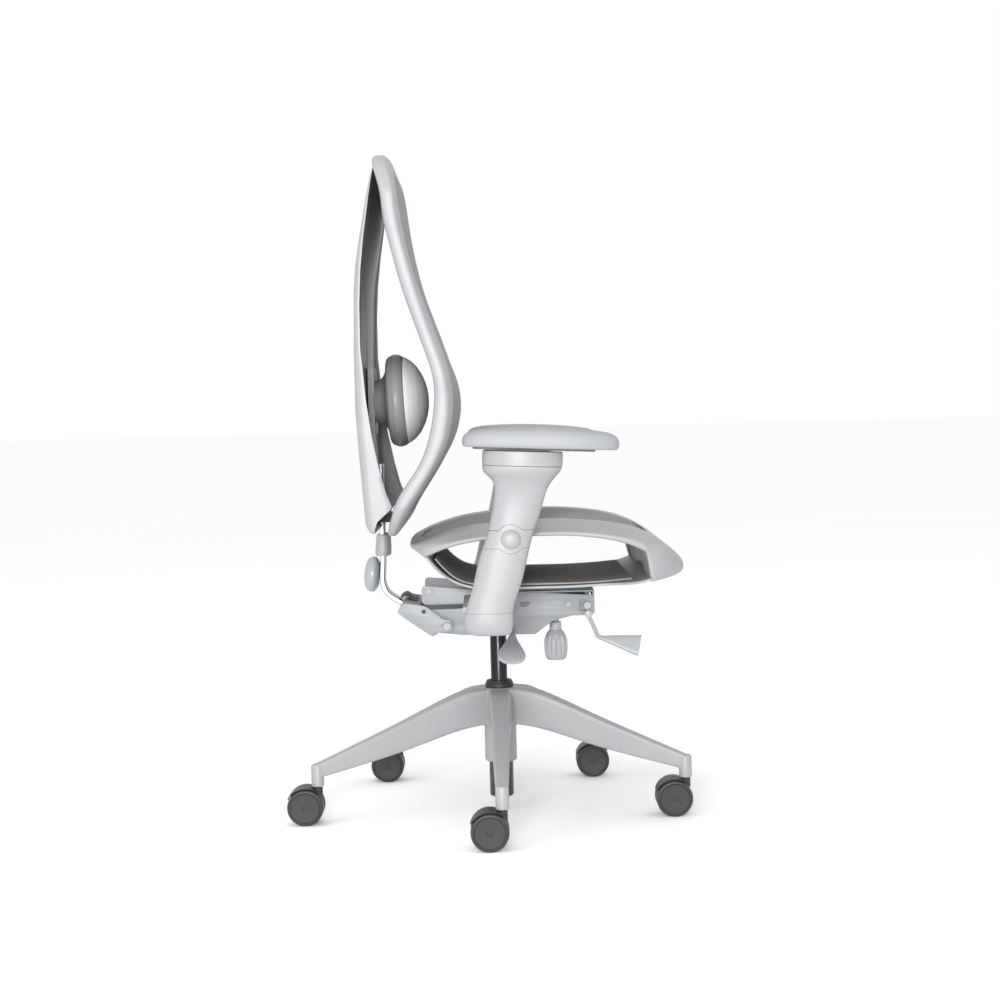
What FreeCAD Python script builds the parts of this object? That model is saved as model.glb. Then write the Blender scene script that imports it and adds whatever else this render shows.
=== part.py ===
import FreeCAD, Part
import os
import math
import Sketcher

# Swivel office chair. Millimetres, +Z up, the sitter faces -Y, the lift column stands on the origin.

doc = FreeCAD.newDocument("office_chair")
sheet = doc.addObject("Spreadsheet::Sheet", "Sheet")
os.makedirs("parts", exist_ok=True)

# ---------------------------------------------------------------- driving dimensions
SIZES = [
    # five-leg base
    ("stem_circle", 320, "radius of the circle the caster stems stand on"),
    ("hub_radius", 28, "outside radius of the base hub"),
    ("hub_low", 80, "underside of the hub"),
    ("hub_top", 206, "top of the hub"),
    ("leg_root_half", 22, "half width of a leg at the hub"),
    ("leg_tip_half", 10, "half width of a leg at its tip"),
    ("boss_radius", 10.5, "radius of the caster boss at a leg tip"),
    ("boss_low", 62, "underside of the caster boss"),
    ("boss_top", 98.5, "top of the caster boss at the leg tip"),
    # casters
    ("stem_radius", 5.45, "caster stem radius"),
    ("stem_bore", 5.5, "caster stem bore radius"),
    ("stem_top", 86, "top of the caster stem"),
    ("wheel_radius", 30, "caster wheel radius"),
    ("wheel_inner", 5, "caster centre plane to a wheel's inner face"),
    ("wheel_thick", 20, "thickness of one caster wheel"),
    ("caster_trail", 20, "stem axis to wheel axle, level"),
    ("axle_radius", 4, "caster axle radius"),
    ("axle_bore", 4.05, "caster axle bore radius"),
    ("web_half", 4, "half thickness of the caster housing web"),
    ("hood_inner", 31.3, "inside radius of the caster hood"),
    ("hood_outer", 34, "outside radius of the caster hood"),
    ("hood_half", 23, "half width of the caster hood"),
    # gas lift
    ("tube_radius", 20.5, "gas lift outer tube radius"),
    ("tube_bore", 14.1, "gas lift outer tube bore radius"),
    ("tube_low", 20, "bottom of the gas lift outer tube"),
    ("tube_floor", 26, "inside bottom of the outer tube"),
    ("collar_radius", 24, "radius of the black collar on the hub"),
    ("collar_top", 218, "top of the black collar"),
    ("piston_radius", 14, "gas cylinder radius"),
    ("piston_low", 95, "bottom of the gas cylinder"),
    ("piston_top", 342, "top of the gas cylinder"),
    ("cone_radius", 13.2, "radius of the gas cylinder's top seat"),
    ("cone_low", 306, "start of the gas cylinder's top seat"),
    ("seat_bore", 13.25, "bore of the lower housing on the gas cylinder"),
    ("valve_radius", 4, "radius of the valve button"),
    ("valve_top", 347, "top of the valve button"),
    ("valve_bore", 4.4, "radius of the well that the valve button sinks into"),
    ("valve_floor", 337, "floor of that well"),
    ("valve_low", 340, "bottom of the valve button"),
    # tilt mechanism
    ("chassis_half", 80, "half width over the lower housing's side plates"),
    ("plate", 3, "thickness of the pressed steel plates"),
    ("carrier_half", 84, "half width over the seat carrier's side plates"),
    ("carrier_top", 375, "top of the seat carrier"),
    ("bracket_half", 89, "half width over the back bracket's side plates"),
    ("front_pin_y", -149, "front tilt pin, fore and aft"),
    ("front_pin_z", 350, "front tilt pin height"),
    ("back_pin_y", 84, "back pivot pin, fore and aft"),
    ("back_pin_z", 321, "back pivot pin height"),
    ("pin_radius", 5, "pivot pin radius"),
    ("pin_bore", 5.06, "pivot pin bore radius"),
    ("lift_boss_radius", 24, "radius of the boss around the gas cylinder's seat"),
    ("rail_x", 62, "seat slide rail centre line, sideways"),
    ("rail_width", 22, "seat slide rail width"),
    ("rail_height", 6, "seat slide rail height"),
    ("rail_front", -158, "front end of the seat slide rails"),
    ("rail_length", 208, "length of the seat slide rails"),
    # seat
    ("seat_half", 262, "half width of the seat"),
    ("seat_front", -319, "front of the seat nose"),
    ("seat_rear", 142, "rear of the seat"),
    ("open_half", 170, "half width of the seat's fabric opening"),
    ("strap_half", 194, "half width of the lower seat strap at its waist"),
    ("fabric_thick", 3, "thickness of the knitted seat and back covers"),
    ("pan_half", 186, "half width of the dark pan liner"),
    # back
    ("back_half", 235, "half width of the backrest"),
    ("back_top", 1086, "top of the backrest hoop"),
    ("back_low", 478, "bottom of the backrest hoop"),
    ("hoop_wide", 24, "width of the hoop seen from the front"),
    ("shell_thick", 5, "thickness of the rear shell"),
    ("bar_half", 24, "half width of the back bar"),
    ("bar_thick", 9, "thickness of the back bar"),
    ("lumbar_z", 697, "height of the lumbar pad's centre"),
    ("lumbar_radius", 78, "half height of the lumbar pad"),
    ("lumbar_wide", 1.3, "width of the lumbar pad over its height"),
    ("knob_radius", 30, "radius of the back height knob"),
    # arms
    ("arm_x", 305, "arm column centre, sideways"),
    ("arm_lean", 16, "forward lean of the arm column, degrees"),
    ("arm_half_x", 20, "half width of the arm column sideways"),
    ("pad_length", 241, "arm pad length"),
    ("pad_width", 94, "arm pad width"),
    ("pad_pitch", 2.8, "nose-down pitch of the arm pad, degrees"),
    ("post_half_y", 18, "half depth of the arm post"),
    ("post_half_x", 9, "half width of the arm post"),
    ("slide_gap", 0.35, "sliding gap around the arm post"),
    ("button_radius", 16, "arm height button radius"),
]
for row, (alias, number, note) in enumerate(SIZES, start=1):
    sheet.set("A%d" % row, note)
    sheet.set("B%d" % row, str(number))
    sheet.setAlias("B%d" % row, alias)
doc.recompute()


def size(alias):
    return float(sheet.get(alias))


def value(entry):
    """A plain number stays; a name is looked up on the sheet; a leading minus sign negates it."""
    if not isinstance(entry, str):
        return float(entry)
    return -size(entry[1:]) if entry.startswith("-") else size(entry)


def bind(feature, prop, entry):
    """Sets a property from a number, or ties it to the sheet."""
    if isinstance(entry, str):
        sign, name = ("-", entry[1:]) if entry.startswith("-") else ("", entry)
        feature.setExpression(prop, "%sSheet.%s" % (sign, name))
    else:
        setattr(feature, prop, entry)


# ---------------------------------------------------------------- parametric helpers
def body_profile(body, plane, points):
    """A closed, fully located polygon on one of the body's own origin planes."""
    sketch = body.newObject("Sketcher::SketchObject", body.Name + "_profile")
    base = [f for f in body.Origin.OriginFeatures if f.Role == plane][0]
    sketch.AttachmentSupport = (base, [""])
    sketch.MapMode = "FlatFace"
    corners = [FreeCAD.Vector(value(a), value(b), 0) for a, b in points]
    count = len(corners)
    for i, corner in enumerate(corners):
        sketch.addGeometry(Part.LineSegment(corner, corners[(i + 1) % count]), False)
    for i in range(count):
        sketch.addConstraint(Sketcher.Constraint("Coincident", i, 2, (i + 1) % count, 1))
    for i, pair in enumerate(points):
        for kind, entry in zip(("DistanceX", "DistanceY"), pair):
            index = sketch.addConstraint(Sketcher.Constraint(kind, -1, 1, i, 1, value(entry)))
            if isinstance(entry, str):
                bind(sketch, "Constraints[%d]" % index, entry)
    return sketch


def turned(label, points):
    """A solid of revolution about Z from (radius, height) points."""
    body = doc.addObject("PartDesign::Body", label)
    sketch = body_profile(body, "XZ_Plane", points)
    spin = body.newObject("PartDesign::Revolution", label + "_turn")
    spin.Profile = sketch
    spin.ReferenceAxis = (sketch, ["V_Axis"])
    spin.Angle = 360
    sketch.Visibility = False
    return body


def side_plate(label, points, thick, start):
    """A plate cut to a (y, z) outline, from x = start towards +X."""
    body = doc.addObject("PartDesign::Body", label)
    sketch = body_profile(body, "YZ_Plane", points)
    pad = body.newObject("PartDesign::Pad", label + "_pad")
    pad.Profile = sketch
    bind(pad, "Length", thick)
    body.Placement = FreeCAD.Placement(FreeCAD.Vector(value(start), 0, 0), FreeCAD.Rotation())
    sketch.Visibility = False
    return body


def box(name, low, high):
    solid = doc.addObject("Part::Box", name)
    for prop, a, b in zip(("Length", "Width", "Height"), low, high):
        setattr(solid, prop, value(b) - value(a))
    solid.Placement.Base = FreeCAD.Vector(*[value(a) for a in low])
    return solid


def rod(name, radius, centre, axis, length):
    """A cylinder with its middle at centre; radius is a number or a sheet name."""
    solid = doc.addObject("Part::Cylinder", name)
    bind(solid, "Radius", radius)
    solid.Height = length
    direction = FreeCAD.Vector(*axis).normalize()
    start = FreeCAD.Vector(*[value(c) for c in centre]) - direction * (length / 2.0)
    solid.Placement = FreeCAD.Placement(start, FreeCAD.Rotation(FreeCAD.Vector(0, 0, 1), direction))
    return solid


def joined(label, shapes):
    fuse = doc.addObject("Part::MultiFuse", label)
    fuse.Shapes = shapes
    fuse.Refine = True
    return fuse


def minus(label, base, tool):
    cut = doc.addObject("Part::Cut", label)
    cut.Base = base
    cut.Tool = tool
    return cut


def group(label, shapes):
    compound = doc.addObject("Part::Compound", label)
    compound.Links = shapes
    return compound


# ---------------------------------------------------------------- free-form helpers
def vec(point):
    return FreeCAD.Vector(*point)


def curve(points):
    spline = Part.BSplineCurve()
    spline.interpolate([vec(p) for p in points])
    return spline.toShape()


def outline(*pieces):
    """Joins runs of points into one closed face; a run of two is straight, a longer run is a smooth curve."""
    edges = []
    last = pieces[-1][-1]
    for run in pieces:
        if (vec(run[0]) - vec(last)).Length > 1e-6:
            edges.append(Part.makeLine(vec(last), vec(run[0])))
        edges.append(curve(run) if len(run) > 2 else Part.makeLine(vec(run[0]), vec(run[1])))
        last = run[-1]
    return Part.Face(Part.Wire(Part.__sortEdges__(edges)))


def side(points, x=0.0):
    return [(x, y, z) for y, z in points]


def across(face, half):
    """Extrudes a side-view face sideways to x = +-half."""
    moved = face.copy()
    moved.translate(FreeCAD.Vector(-half, 0, 0))
    return moved.extrude(FreeCAD.Vector(2 * half, 0, 0))


def rounded_rect(low_a, high_a, low_b, high_b, r_low, r_high, place):
    """A face with rounded corners; place turns the two in-plane coordinates into a point."""
    def arc(ca, cb, r, start):
        angles = [math.radians(start + step) for step in (0, 45, 90)]
        p = [vec(place(ca + r * math.cos(t), cb + r * math.sin(t))) for t in angles]
        return Part.Arc(p[0], p[1], p[2]).toShape()
    arcs = [
        arc(high_a - r_low, low_b + r_low, r_low, -90),
        arc(high_a - r_high, high_b - r_high, r_high, 0),
        arc(low_a + r_high, high_b - r_high, r_high, 90),
        arc(low_a + r_low, low_b + r_low, r_low, 180),
    ]
    edges = []
    for i, a in enumerate(arcs):
        b = arcs[(i + 1) % 4]
        edges += [a, Part.makeLine(a.valueAt(a.LastParameter), b.valueAt(b.FirstParameter))]
    return Part.Face(Part.Wire(Part.__sortEdges__(edges)))


def ribbon(points, before, after):
    """A side-view strip that follows a smooth path, with the given thickness on its two sides."""
    path = Part.BSplineCurve()
    path.interpolate([FreeCAD.Vector(0, y, z) for y, z in points])
    first, last = path.FirstParameter, path.LastParameter
    sides = {before: [], -after: []}
    steps = 4 * (len(points) - 1)
    for i in range(steps + 1):
        u = first + (last - first) * i / steps
        along = path.tangent(u)[0]
        normal = FreeCAD.Vector(0, -along.z, along.y)
        for offset, run in sides.items():
            run.append(tuple(path.value(u) + normal * offset))
    left, right = sides[before], sides[-after]
    return outline(left, [left[-1], right[-1]], right[::-1], [right[0], left[0]])


def ellipse_loft(sections):
    """A solid through level ellipses given as (y, z, half depth, half width)."""
    wires = []
    for y, z, depth, width in sections:
        major, minor = max(depth, width), min(depth, width)
        oval = Part.Ellipse(FreeCAD.Vector(0, 0, 0), major, minor)
        wire = Part.Wire(oval.toShape())
        if depth > width:
            wire.rotate(FreeCAD.Vector(0, 0, 0), FreeCAD.Vector(0, 0, 1), 90)
        wire.translate(FreeCAD.Vector(0, y, z))
        wires.append(wire)
    return Part.makeLoft(wires, True, False)


def freeform(label, shape, placement=None):
    feature = doc.addObject("Part::Feature", label)
    own_place = shape.Placement
    feature.Shape = shape
    feature.Placement = placement or own_place
    return feature


nodes = {}


def keep(feature):
    """Lists a finished sub-part under its own label."""
    nodes[feature.Label] = feature
    return feature


# ---------------------------------------------------------------- five-leg base
leg_angles = [180 + 72 * k for k in range(5)]
reach = size("stem_circle")
leg_over = [(22, 203), (60, 200), (105, 191), (160, 171), (219, 147), (275, 121), (reach + 10, 97)]
leg_under = [(reach + 10, 74), (230, 96), (140, 119), (57, 141), (22, 145)]
leg_side = outline([(x, 0, z) for x, z in leg_over], [(x, 0, z) for x, z in leg_under])
leg_side.translate(FreeCAD.Vector(0, -40, 0))
leg_solid = leg_side.extrude(FreeCAD.Vector(0, 80, 0))
root, tip = size("leg_root_half"), size("leg_tip_half")
half_plan = [(22, 14), (38, root - 2), (60, root - 1.5), (100, 16.5), (200, 13.2), (reach + 1, tip)]
leg_plan = outline(
    [(x, y, 60) for x, y in half_plan],
    [(x, -y, 60) for x, y in reversed(half_plan)],
)
leg = leg_solid.common(leg_plan.extrude(FreeCAD.Vector(0, 0, 160)))
legs = [
    freeform("leg_%d" % (i + 1), leg, FreeCAD.Placement(
        FreeCAD.Vector(0, 0, 0), FreeCAD.Rotation(FreeCAD.Vector(0, 0, 1), angle)))
    for i, angle in enumerate(leg_angles)
]
hub_height = size("hub_top") - size("hub_low")
hub_block = rod("hub_block", "hub_radius", (0, 0, size("hub_low") + hub_height / 2), (0, 0, 1), hub_height)
stem_spots = []
for angle in leg_angles:
    turn = math.radians(angle)
    stem_spots.append((reach * math.cos(turn), reach * math.sin(turn)))
boss_height = size("boss_top") - size("boss_low")
boss_middle = (size("boss_top") + size("boss_low")) / 2
bosses = [
    rod("boss_%d" % (i + 1), "boss_radius", (x, y, boss_middle), (0, 0, 1), boss_height)
    for i, (x, y) in enumerate(stem_spots)
]
star_solid = joined("star_solid", [hub_block] + legs + bosses)
bores = [rod("hub_bore", "tube_radius", (0, 0, 150), (0, 0, 1), 200)]
for i, (x, y) in enumerate(stem_spots):
    depth = size("stem_top") + 2 - 50
    bores.append(rod("boss_bore_%d" % (i + 1), "stem_bore", (x, y, 50 + depth / 2), (0, 0, 1), depth))
keep(minus("base_star", star_solid, joined("base_bores", bores)))

# ---------------------------------------------------------------- gas lift
keep(turned("gas_outer_tube", [
    (0, "tube_low"), ("tube_radius", "tube_low"), ("tube_radius", "hub_top"),
    ("tube_bore", "hub_top"), ("tube_bore", "tube_floor"), (0, "tube_floor"),
]))
keep(turned("column_collar", [
    ("tube_bore", "hub_top"), ("collar_radius", "hub_top"), ("collar_radius", 214),
    (22, "collar_top"), ("tube_bore", "collar_top"),
]))
keep(turned("gas_cylinder", [
    (0, "piston_low"), ("piston_radius", "piston_low"), ("piston_radius", 303), ("cone_radius", "cone_low"),
    ("cone_radius", "piston_top"), ("valve_bore", "piston_top"), ("valve_bore", "valve_floor"), (0, "valve_floor"),
]))
keep(turned("valve_button", [
    (0, "valve_low"), ("valve_radius", "valve_low"), ("valve_radius", 346), (3, "valve_top"), (0, "valve_top"),
]))

# ---------------------------------------------------------------- casters, trailing towards +Y
trail = size("caster_trail")
wheel_z = size("wheel_radius")
for i, (x, y) in enumerate(stem_spots, start=1):
    axle = (x, y + trail, wheel_z)
    half = size("hood_half")
    hood_out = rod("hood_out_%d" % i, "hood_outer", axle, (1, 0, 0), 2 * half)
    hood_in = rod("hood_in_%d" % i, "hood_inner", axle, (1, 0, 0), 2 * half + 2)
    hood_ring = minus("hood_ring_%d" % i, hood_out, hood_in)
    cover = box("hood_cover_%d" % i, (x - 40, y - 8, 38), (x + 40, y + trail + 24, 61.6))
    hood = doc.addObject("Part::MultiCommon", "hood_%d" % i)
    hood.Shapes = [hood_ring, cover]
    web = rod("web_%d" % i, 26.5, axle, (1, 0, 0), 2 * size("web_half"))
    web_fill = box("web_fill_%d" % i, (x - size("web_half"), y - 6, 34), (x + size("web_half"), y + 24, 58))
    neck = rod("neck_%d" % i, 8, (x, y, 56.3), (0, 0, 1), 10.6)
    stem_length = size("stem_top") - 56
    stem = rod("stem_%d" % i, "stem_radius", (x, y, 56 + stem_length / 2), (0, 0, 1), stem_length)
    solid = joined("housing_solid_%d" % i, [hood, web, web_fill, neck, stem])
    swept = []
    for sign in (-1, 1):
        inner, thick = size("wheel_inner") - 0.6, size("wheel_thick") + 4
        centre_x = x + sign * (inner + thick / 2)
        swept.append(rod("wheel_room_%d%s" % (i, "lr"[sign > 0]), "hood_inner", (centre_x, y + trail, wheel_z),
                         (1, 0, 0), thick))
    bore = rod("axle_room_%d" % i, "axle_bore", axle, (1, 0, 0), 30)
    keep(minus("caster_housing_%d" % i, solid, joined("housing_cuts_%d" % i, swept + [bore])))
    discs = []
    for sign in (-1, 1):
        centre_x = x + sign * (size("wheel_inner") + size("wheel_thick") / 2)
        disc = rod("disc_%d%s" % (i, "lr"[sign > 0]), "wheel_radius", (centre_x, y + trail, wheel_z),
                   (1, 0, 0), size("wheel_thick"))
        discs.append(disc)
    shaft = rod("axle_%d" % i, "axle_radius", axle, (1, 0, 0), 40)
    keep(joined("caster_wheels_%d" % i, discs + [shaft]))

# ---------------------------------------------------------------- lower housing on the gas cylinder
housing_side = [
    (-155, 340), (-92, 325), (-71, 310), (-62, 303), (60, 305), (96, 309), (98, 330), (88, 336), (-118, 361),
    (-140, 365), (-155, 365),
]
outer_block = side_plate("housing_outer", housing_side, 2 * size("chassis_half"), "-chassis_half")
wall = size("plate")
housing_room = [
    (-170, 345), (-91, 328.5), (-69, 313), (-61, 306.5), (60, 308.5), (110, 312), (110, 400), (-170, 400),
]
inner_half = size("chassis_half") - wall
inner_block = side_plate("housing_inner", housing_room, 2 * inner_half, -inner_half)
tray = minus("housing_tray", outer_block, inner_block)
boss = rod("lift_boss", "lift_boss_radius", (0, 0, 321.5), (0, 0, 1), 33)
front_tube = rod("front_tube", 7.4, (0, "front_pin_y", "front_pin_z"), (1, 0, 0), 2 * size("chassis_half"))
rear_tube = rod("rear_tube", 9, (0, "back_pin_y", "back_pin_z"), (1, 0, 0), 2 * size("chassis_half"))
knob_boss = rod("knob_boss", 12, (-30, -97, 327), (0, 0, 1), 10)
tray_solid = joined("tray_solid", [tray, boss, front_tube, rear_tube, knob_boss])
tray_cuts = [
    rod("lift_bore", "seat_bore", (0, 0, 322), (0, 0, 1), 60),
    rod("lift_clear", 14.4, (0, 0, 300), (0, 0, 1), 12.4),
    rod("front_bore", "pin_radius", (0, "front_pin_y", "front_pin_z"), (1, 0, 0), 200),
    rod("rear_bore", "pin_radius", (0, "back_pin_y", "back_pin_z"), (1, 0, 0), 200),
    rod("knob_bore", 6.05, (-30, -97, 325), (0, 0, 1), 40),
    rod("lever_bore", 4.05, (-59, -24, 309.5), (1, 0, 0), 98),
]
keep(minus("lower_housing", tray_solid, joined("tray_cuts", tray_cuts)))
for label, y, z in (("front_pin", "front_pin_y", "front_pin_z"), ("back_pin", "back_pin_y", "back_pin_z")):
    shank = rod(label + "_shank", "pin_radius", (0, y, z), (1, 0, 0), 186)
    heads = [rod("%s_head_%s" % (label, s), 6, (k * 92.5, y, z), (1, 0, 0), 5) for s, k in (("l", -1), ("r", 1))]
    keep(joined(label, [shank] + heads))
spring_bar = rod("torsion_shaft", 6, (0, 45, 326), (1, 0, 0), 150)
spring_coils = [rod("torsion_coil_%s" % s, 10, (k * 48, 45, 326), (1, 0, 0), 40) for s, k in (("l", -1), ("r", 1))]
keep(joined("torsion_spring", [spring_bar] + spring_coils))

# ---------------------------------------------------------------- seat carrier: a shallow channel over the housing
carrier_side = [
    (-161, 337), (-154, 333), (40, 333), (52, 357), (120, 357), (125, 362), (125, 385), (120, 390), (78, 387),
    (56, "carrier_top"), (-161, "carrier_top"),
]
carrier_block = side_plate("carrier_block", carrier_side, 2 * size("carrier_half"), "-carrier_half")
carrier_room = [
    (-175, 320), (140, 320), (140, 400), (60, 400), (60, 372), (-158, 372), (-158, 330), (-175, 330),
]
room_half = size("carrier_half") - wall
carrier_inner = side_plate("carrier_inner", carrier_room, 2 * room_half, -room_half)
carrier_tray = minus("carrier_tray", carrier_block, carrier_inner)
nose_notch = box("carrier_nose_notch", (-72, -165, 330), (72, -157, 362))
arm_notch = box("carrier_arm_notch", (-100, 21.5, 364.6), (100, 54.5, 372))
lever_room = rod("carrier_lever_room", 2.56, (-82, -150, 336.5), (1, 0, 0), 12)
pin_room = rod("carrier_pin_room", "pin_bore", (0, "front_pin_y", "front_pin_z"), (1, 0, 0), 220)
keep(minus("upper_housing", carrier_tray, joined("carrier_cuts", [nose_notch, arm_notch, pin_room, lever_room])))
rails = []
for s, k in (("l", -1), ("r", 1)):
    rail = doc.addObject("Part::Box", "rail_" + s)
    bind(rail, "Length", "rail_width")
    bind(rail, "Width", "rail_length")
    bind(rail, "Height", "rail_height")
    rail.Placement.Base = FreeCAD.Vector(
        k * size("rail_x") - size("rail_width") / 2, size("rail_front"), size("carrier_top"))
    rails.append(rail)
keep(group("seat_rails", rails))
bolt_spots = [(-118, 352), (-20, 352), (112, 379)]
bolts = []
for n, (y, z) in enumerate(bolt_spots, start=1):
    for k in (-1, 1):
        head_x = k * (size("carrier_half") + 1.4)
        bolts.append(rod("bolt_%d%s" % (n, "lr"[k > 0]), 4, (head_x, y, z), (1, 0, 0), 2.8))
keep(group("housing_bolts", bolts))

# ---------------------------------------------------------------- back bracket and bar
bracket_outline = [
    (74, 314), (84, 309), (93, 313), (108, 304), (120, 312), (150, 333), (166, 346), (160, 357), (152, 361),
    (134, 358), (118, 355), (90, 333), (76, 330),
]
bracket_block = side_plate("bracket_block", bracket_outline, 2 * size("bracket_half"), "-bracket_half")
slot_half = size("bracket_half") - wall
bracket_slot = box("bracket_slot", (-slot_half, 60, 290), (slot_half, 127, 370))
bracket_slim = minus("bracket_slim", bracket_block, bracket_slot)
bracket_room = rod("bracket_pin_room", "pin_bore", (0, "back_pin_y", "back_pin_z"), (1, 0, 0), 220)
keep(minus("back_bracket", bracket_slim, bracket_room))
bar_bend = [(191, 432), (192, 412), (192, 388), (185, 372), (169, 359.5), (154, 350)]
bar_half, bar_depth = size("bar_half"), size("bar_thick") / 2
bar_foot = across(ribbon(bar_bend, bar_depth, bar_depth), bar_half)
bar_post = Part.makeBox(2 * bar_half, 2 * bar_depth, 158, FreeCAD.Vector(-bar_half, 191 - bar_depth, 432))
doc.recompute()
knob_place = FreeCAD.Placement(
    FreeCAD.Vector(0, 198.4, 402), FreeCAD.Rotation(FreeCAD.Vector(1, 0, 0), -90 + 6))
knob_room = Part.makeCylinder(4.06, 40, FreeCAD.Vector(0, 0, -20))
knob_room.Placement = knob_place
bracket_shape = nodes["back_bracket"].Shape
bar_shape = bar_foot.fuse(bar_post).cut(bracket_shape).cut(knob_room).removeSplitter()
keep(freeform("back_bar", bar_shape))
wave_path = [(161, 365), (153, 369), (144, 363), (134, 361)]
bumper = across(ribbon(wave_path, 2.5, 2.5), 30).cut(bracket_shape).cut(bar_shape)
keep(freeform("bar_bumper", max(bumper.Solids, key=lambda s: s.Volume)))
sleeve_out = ellipse_loft([
    (191, 435.5, 12, 30), (191, 439, 13.5, 31.5), (190, 456, 13, 31), (190, 468, 12, 30), (190, 472, 10, 29),
])
keep(freeform("bar_sleeve", sleeve_out.cut(bar_shape)))
back_knob = turned("back_knob", [
    (0, -9), (4, -9), (4, 0), (20, 0), ("knob_radius", 8), ("knob_radius", 14), (26, 21), (14, 25), (0, 26),
])
back_knob.Placement = knob_place
keep(back_knob)

# ---------------------------------------------------------------- seat shell: a leaf in side view, open at the sides
over = [
    (134, 465), (96, 479), (55, 490), (0, 497), (-60, 500.5), (-120, 499.5), (-170, 494.5), (-215, 485),
    (-255, 467), (-285, 445), (-316, 413),
]
under = [(-316, 409), (-262, 402), (-230, 397), (-180, 391), (-100, 388.5), (-37, 388.5), (40, 391), (70, 402),
         (93, 419), (110, 442), (132, 456)]
opening = outline(
    side([(112, 447), (87, 460), (40, 473.5), (-30, 480), (-101, 481), (-163, 475), (-210, 463), (-237, 449)]),
    side([(-237, 449), (-239, 430), (-233, 413), (-224, 402)]),
    side([(-224, 402), (-180, 396), (-100, 393.5), (-37, 393.5), (38, 396), (65, 405.5), (88, 422), (103, 438),
          (112, 447)]),
)
leaf = outline(side(over), side(under))
seat_half = size("seat_half")
plan_half = [
    (0, "seat_rear"), (110, 140), (190, 131), (238, 108), ("seat_half", 45), (264, -60), ("seat_half", -170),
    (250, -250), (205, -294), (110, -313), (0, "seat_front"),
]
plan_right = [(value(x), value(y), 380) for x, y in plan_half]
plan_left = [(-x, y, z) for x, y, z in reversed(plan_right)]
seat_plan = outline(plan_right, plan_left).extrude(FreeCAD.Vector(0, 0, 160))
seat_solid = across(leaf, seat_half + 5).common(seat_plan).cut(across(opening, seat_half + 10))
open_half = size("open_half")
window = rounded_rect(-open_half, open_half, -248, 104, 70, 60, lambda a, b: (a, b, 430))
seat_solid = seat_solid.cut(window.extrude(FreeCAD.Vector(0, 0, 120)))
for k in (-1, 1):
    waist = rounded_rect(size("strap_half"), 300, -232, 92, 40, 40, lambda a, b: (k * a, b, 370))
    seat_solid = seat_solid.cut(waist.extrude(FreeCAD.Vector(0, 0, 75)))
keep(freeform("seat_frame", seat_solid))
slider = box("slider_sheet", (-79, -150, 381.3), (79, 52, 384.3))
lips = []
for k in (-1, 1):
    lip_x = k * (size("rail_x") + size("rail_width") / 2 + 2.4)
    lips.append(box("slider_lip_%s" % "lr"[k > 0], (lip_x - 2, -150, 376), (lip_x + 2, 34, 382)))
pillars = [
    rod("slider_pillar_%d" % n, 9, (x, y, 388.5), (0, 0, 1), 9)
    for n, (x, y) in enumerate(((-60, -120), (60, -120), (-60, 20), (60, 20)), start=1)
]
slider_solid = joined("slider_solid", [slider] + lips + pillars)
doc.recompute()
slider_trimmed = slider_solid.Shape.cut(seat_solid)
keep(freeform("slider_plate", max(slider_trimmed.Solids, key=lambda s: s.Volume)))
pan_path = [(-216, 402.2), (-180, 398.4), (-100, 396), (-37, 396), (34, 398.2), (60, 405.5), (82, 419.5)]
pan_plan = rounded_rect(-size("pan_half"), size("pan_half"), -226, 90, 30, 30, lambda a, b: (a, b, 380))
pan = across(ribbon(pan_path, 2.2, 1.9), 200).common(pan_plan.extrude(FreeCAD.Vector(0, 0, 80)))
keep(freeform("seat_pan", pan.cut(seat_solid)))
cover_path = [(y, z - 1) for y, z in over[:9]]
cover_plan = rounded_rect(-open_half, open_half, -248, 104, 70, 60, lambda a, b: (a, b, 430))
cover = across(ribbon(cover_path, 0.0, size("fabric_thick")), open_half + 5)
cover = cover.common(cover_plan.extrude(FreeCAD.Vector(0, 0, 120)))
keep(freeform("seat_fabric", cover))

# ---------------------------------------------------------------- backrest: bowed front hoop on a straight rear shell
hoop_front = [
    (150, 478), (141, 504), (123, 537), (92.5, 584), (71.5, 631), (62, 681), (64, 725), (77, 773), (93.5, 820),
    (115, 884), (130.5, 947), (137.5, 986), (142.5, 1025), (149, 1066), (163, 1086),
]
hoop_rear = [
    (176, 1078), (172, 1052), (164, 995), (155, 938), (141, 881), (125, 828), (106, 775), (95, 733), (93.5, 690),
    (100, 643), (110, 606), (126, 574), (146, 545), (163, 522), (172, 478),
]
hoop_face = outline(side(hoop_front), side(hoop_rear))
back_half, hoop_wide = size("back_half"), size("hoop_wide")
ring_out = rounded_rect(-back_half, back_half, size("back_low"), size("back_top"), 70, 80, lambda a, b: (a, 20, b))
ring_in = rounded_rect(-back_half + hoop_wide, back_half - hoop_wide, size("back_low") + 30,
                       size("back_top") - hoop_wide, 50, 58, lambda a, b: (a, 10, b))
ring = ring_out.extrude(FreeCAD.Vector(0, 200, 0)).cut(ring_in.extrude(FreeCAD.Vector(0, 220, 0)))
hoop = across(hoop_face, back_half + 5).common(ring)
keep(freeform("front_frame", hoop))
mesh_path = [(y + 3, z) for y, z in hoop_front[1:14]]
mesh_plan = ring_in.copy()
mesh_solid = across(ribbon(mesh_path, size("fabric_thick"), 0.0), back_half).common(
    mesh_plan.extrude(FreeCAD.Vector(0, 220, 0)))
keep(freeform("back_fabric", mesh_solid))

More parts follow.
